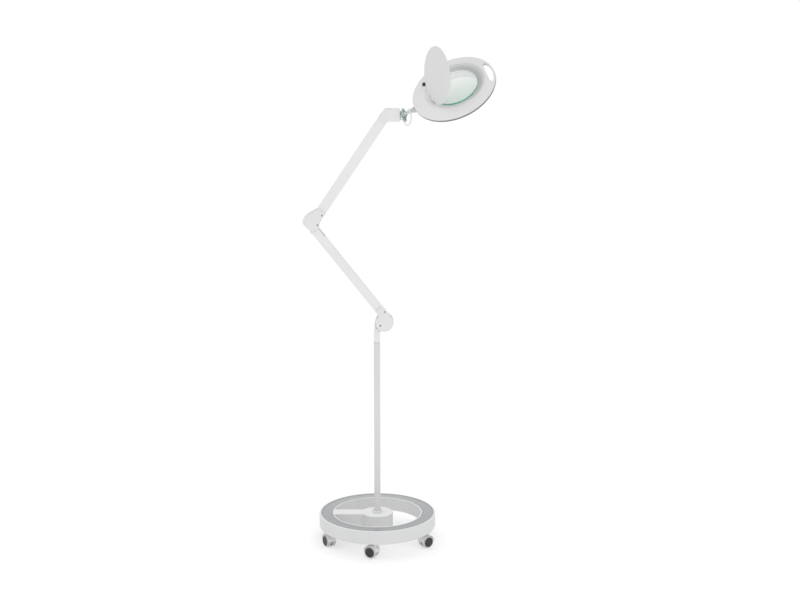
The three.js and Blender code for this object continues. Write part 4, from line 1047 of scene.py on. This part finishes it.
def disc_lens():
    """A thick lens: its ground edge stands 3 mm clear of the recess, under a low dome."""
    R, z0, e = 67.4, -2.4, 64.9
    top = [(e * i / 16, 5.0 + 0.8 * (1 - (i / 16) ** 2)) for i in range(17)]
    bot = [(65.6 * i / 16, z0 - 9.6 * (1 - (i / 16) ** 2)) for i in range(17)]
    p = bot + [(R - 0.3, z0), (R, z0 + 0.3), (R, 0.3), (R - 0.3, 0.6), (65.9, 0.6), (65.7, 0.9), (65.7, 4.4)] + top[::-1]
    return turned(p, 128, lambda r, z: U0, mat=lambda r, z: 1 if (r > 64.9 and z > -2.39) else (0 if z > 0 else 2))


piece("lens_disc", disc_lens(), [GLASS, EDGE, CLEAR], "head", "lens", HEAD)
LC = lambda r, z: U0
piece("lens_ring", turned([[65.7, -2.8], [67.4, -2.8], [67.4, -9.4], [70.2, -9.4], [70.2, -25], [68, -25], [67.4, -12], [65.7, -7]], HS, LC, radii=[.2, .2, .1, .4, .6, .6, 2, 2], n=3), WHITE, "head", "lens_retaining_ring", HEAD)
lamp = turned([[72.2, -8], [79, -8], [79, -6.4], [72.2, -6.4]], HS, LC, radii=0.2, n=2)
for i in range(60):
    a = 2 * math.pi * i / 60
    c = bmesh.new()
    bmesh.ops.create_cube(c, size=1)
    bmesh.ops.scale(c, vec=(2.8, 2.0, 0.8), verts=c.verts)
    bevel(c, 0.2, 1)
    for f in c.faces:
        f.material_index = 1
    bmesh.ops.rotate(c, cent=(0, 0, 0), matrix=Matrix.Rotation(a, 3, "Z"), verts=c.verts)
    bmesh.ops.translate(c, vec=(U0 + 75.6 * math.cos(a), 75.6 * math.sin(a), -8.45), verts=c.verts)
    lamp = join(lamp, c)
piece("lamp_ring", lamp, [BOARD, CHIP], "head", "led_ring_board", HEAD)
piece("diffuser", turned([[70.6, -22.8], [73, -22.4], [78, -22.4], [81.1, -22.8], [81.1, -24.3], [79.8, -24.8], [72, -24.8], [70.6, -24.3]], HS, LC, radii=0.3, n=2), OPAL, "head", "diffuser_ring", HEAD)

SWM = HEAD @ Matrix.Translation((*SW, 0))
piece("switch_ring", turned([[6.4, 1], [6.7, 1], [6.7, 10.5], [8.2, 10.5], [8.2, 11.3], [7.4, 12], [6.4, 12]], 64, radii=[.1, .1, .1, .2, .4, .5, .3], n=3), BEZEL, "head", (), SWM)
knob = turned([[0, 5], [5.5, 5], [5.65, 14.6], [5.1, 16.5], [0, 17.2]], 64, radii=[0, .3, .9, 1.2, 0], n=4)
dip = bmesh.new()
bmesh.ops.create_uvsphere(dip, u_segments=32, v_segments=16, radius=9)
bmesh.ops.translate(dip, vec=(0, 0, 25.2), verts=dip.verts)
knob = boolean(knob, dip)
piece("switch_knob", knob, BLACK, "rocker", "switch_rocker", SWM)

n = -6.3
tongue = extrude(rounded([(-130, n + 4), (-130, n - 5.6), (-118, -14.6), (-103, -16.5), (-99.6, -16.5), (-99.6, -8), (-112, -6), (-124, -2)], [2, 3, 3, 2, 1, 1, 1, 1], 4), -7.4, 7.4, "y", 1.2, 3)
sp = turned([[0, 0], [6.6, 0], [6.6, 10.8], [0, 10.8]], 64, radii=[0, 1.2, .6, 0], n=4)
bmesh.ops.transform(sp, matrix=Matrix.Translation((-135, 0, n)) @ turn_x, verts=sp.verts)
keep = turned([(0, -26), (91.3, -25.4), (93.4, -24.4), (95.1, -22.1), (96.9, -14.1), (99, -11), (102.3, -9.4), (110.3, -7.8), (117.3, -6), (121.6, -3.7), (124, -3.4), (124, 14), (0, 20)], HS)
so = boolean(boolean(sp, tongue, "UNION"), keep)
so = boolean(so, cyl(3.3, (-140, 0, n), (-129.6, 0, n), 32, 0))
piece("head_socket_block", so, SOCKET, "head", "head_socket", HEAD)
fix = screw(None, (-110, 0, -15.5), (0, 0, -1), 2.2, 0.8)
piece("socket_screw", fix, SCREW, "head", at=HEAD)

# ------------------------------------------------------------------ lid
HINGE = HEAD @ Matrix.Translation((-66.8, -15.6, 10.6)) @ Matrix.Rotation(9.8 * deg, 4, "Z")
ear = rounded([(-2.6, -3.9)] + [(x, z) for x, z in arc(0, 0, 2.6, 180, 0, 18)] + [(2.6, -3.9)], [0.1] + [0] * 19 + [0.1], 2)
br = extrude(ear, 7.2, 9.6, "y", 0.3, 2)
br = boolean(br, extrude(ear, -9.6, -7.2, "y", 0.3, 2), "UNION")
br = boolean(br, extrude([(-2.6, -4.6), (2.6, -4.6), (2.6, -3.7), (-2.6, -3.7)], -9.6, 9.6, "y", 0.1, 1), "UNION")
br = boolean(br, cyl(1.4, (0, -20, 0), (0, 20, 0), 24, 0))
piece("hinge_bracket", br, RIBW, "head", "lid_hinge_bracket", HINGE)
piece("hinge_pin", cyl(1.1, (0, -9.5, 0), (0, 9.5, 0), 24, 0.3), STEEL, "head", (), HINGE)
LIDM = HINGE @ Matrix.Rotation(-59.2 * deg, 4, "Y")
R, top, bot, reach = 81.1, 0.4, -2.2, 77.3
ld = turned([[0, bot + 0.5], [R - 6, bot + 0.5], [R - 4.2, bot], [R - 1.2, bot], [R, bot + 0.9], [R, top - 0.9], [R - 0.9, top], [R - 7, top], [R - 9, top - 0.22], [0, top - 0.1]],
            144, lambda r, z: reach, radii=[0, 1, 1, .6, .6, .6, .6, 1.5, 1.5, 0], n=3)


def slab(x0, x1, y0, y1, z0, z1):
    b = bmesh.new()
    bmesh.ops.create_cube(b, size=1)
    bmesh.ops.scale(b, vec=(x1 - x0, y1 - y0, z1 - z0), verts=b.verts)
    bmesh.ops.translate(b, vec=((x0 + x1) / 2, (y0 + y1) / 2, (z0 + z1) / 2), verts=b.verts)
    return b


ld = boolean(ld, slab(-6, 4.4, 6.8, 10.6, -6, 5))
ld = boolean(ld, slab(-6, 4.4, -10.6, -6.8, -6, 5))
ld = boolean(ld, slab(-8, -2.6, -10.6, 10.6, -6, 5))
tab = extrude(rounded([(-1.5, -2.2), (12, -2.2), (13, 0.2), (9.5, 1.5), (2.2, 2.3), (-1, 2.3)], [.4, .2, .2, 2, 2, .6], 4), -6.8, 6.8, "y", 0.3, 2)
ld = boolean(ld, tab, "UNION")
ld = boolean(ld, cyl(2.6, (0, -6.8, 0), (0, 6.8, 0), 32, 0.25), "UNION")
ld = boolean(ld, cyl(1.4, (0, -20, 0), (0, 20, 0), 24, 0))
piece("lid", ld, LID, "lid", "lens_lid", LIDM)
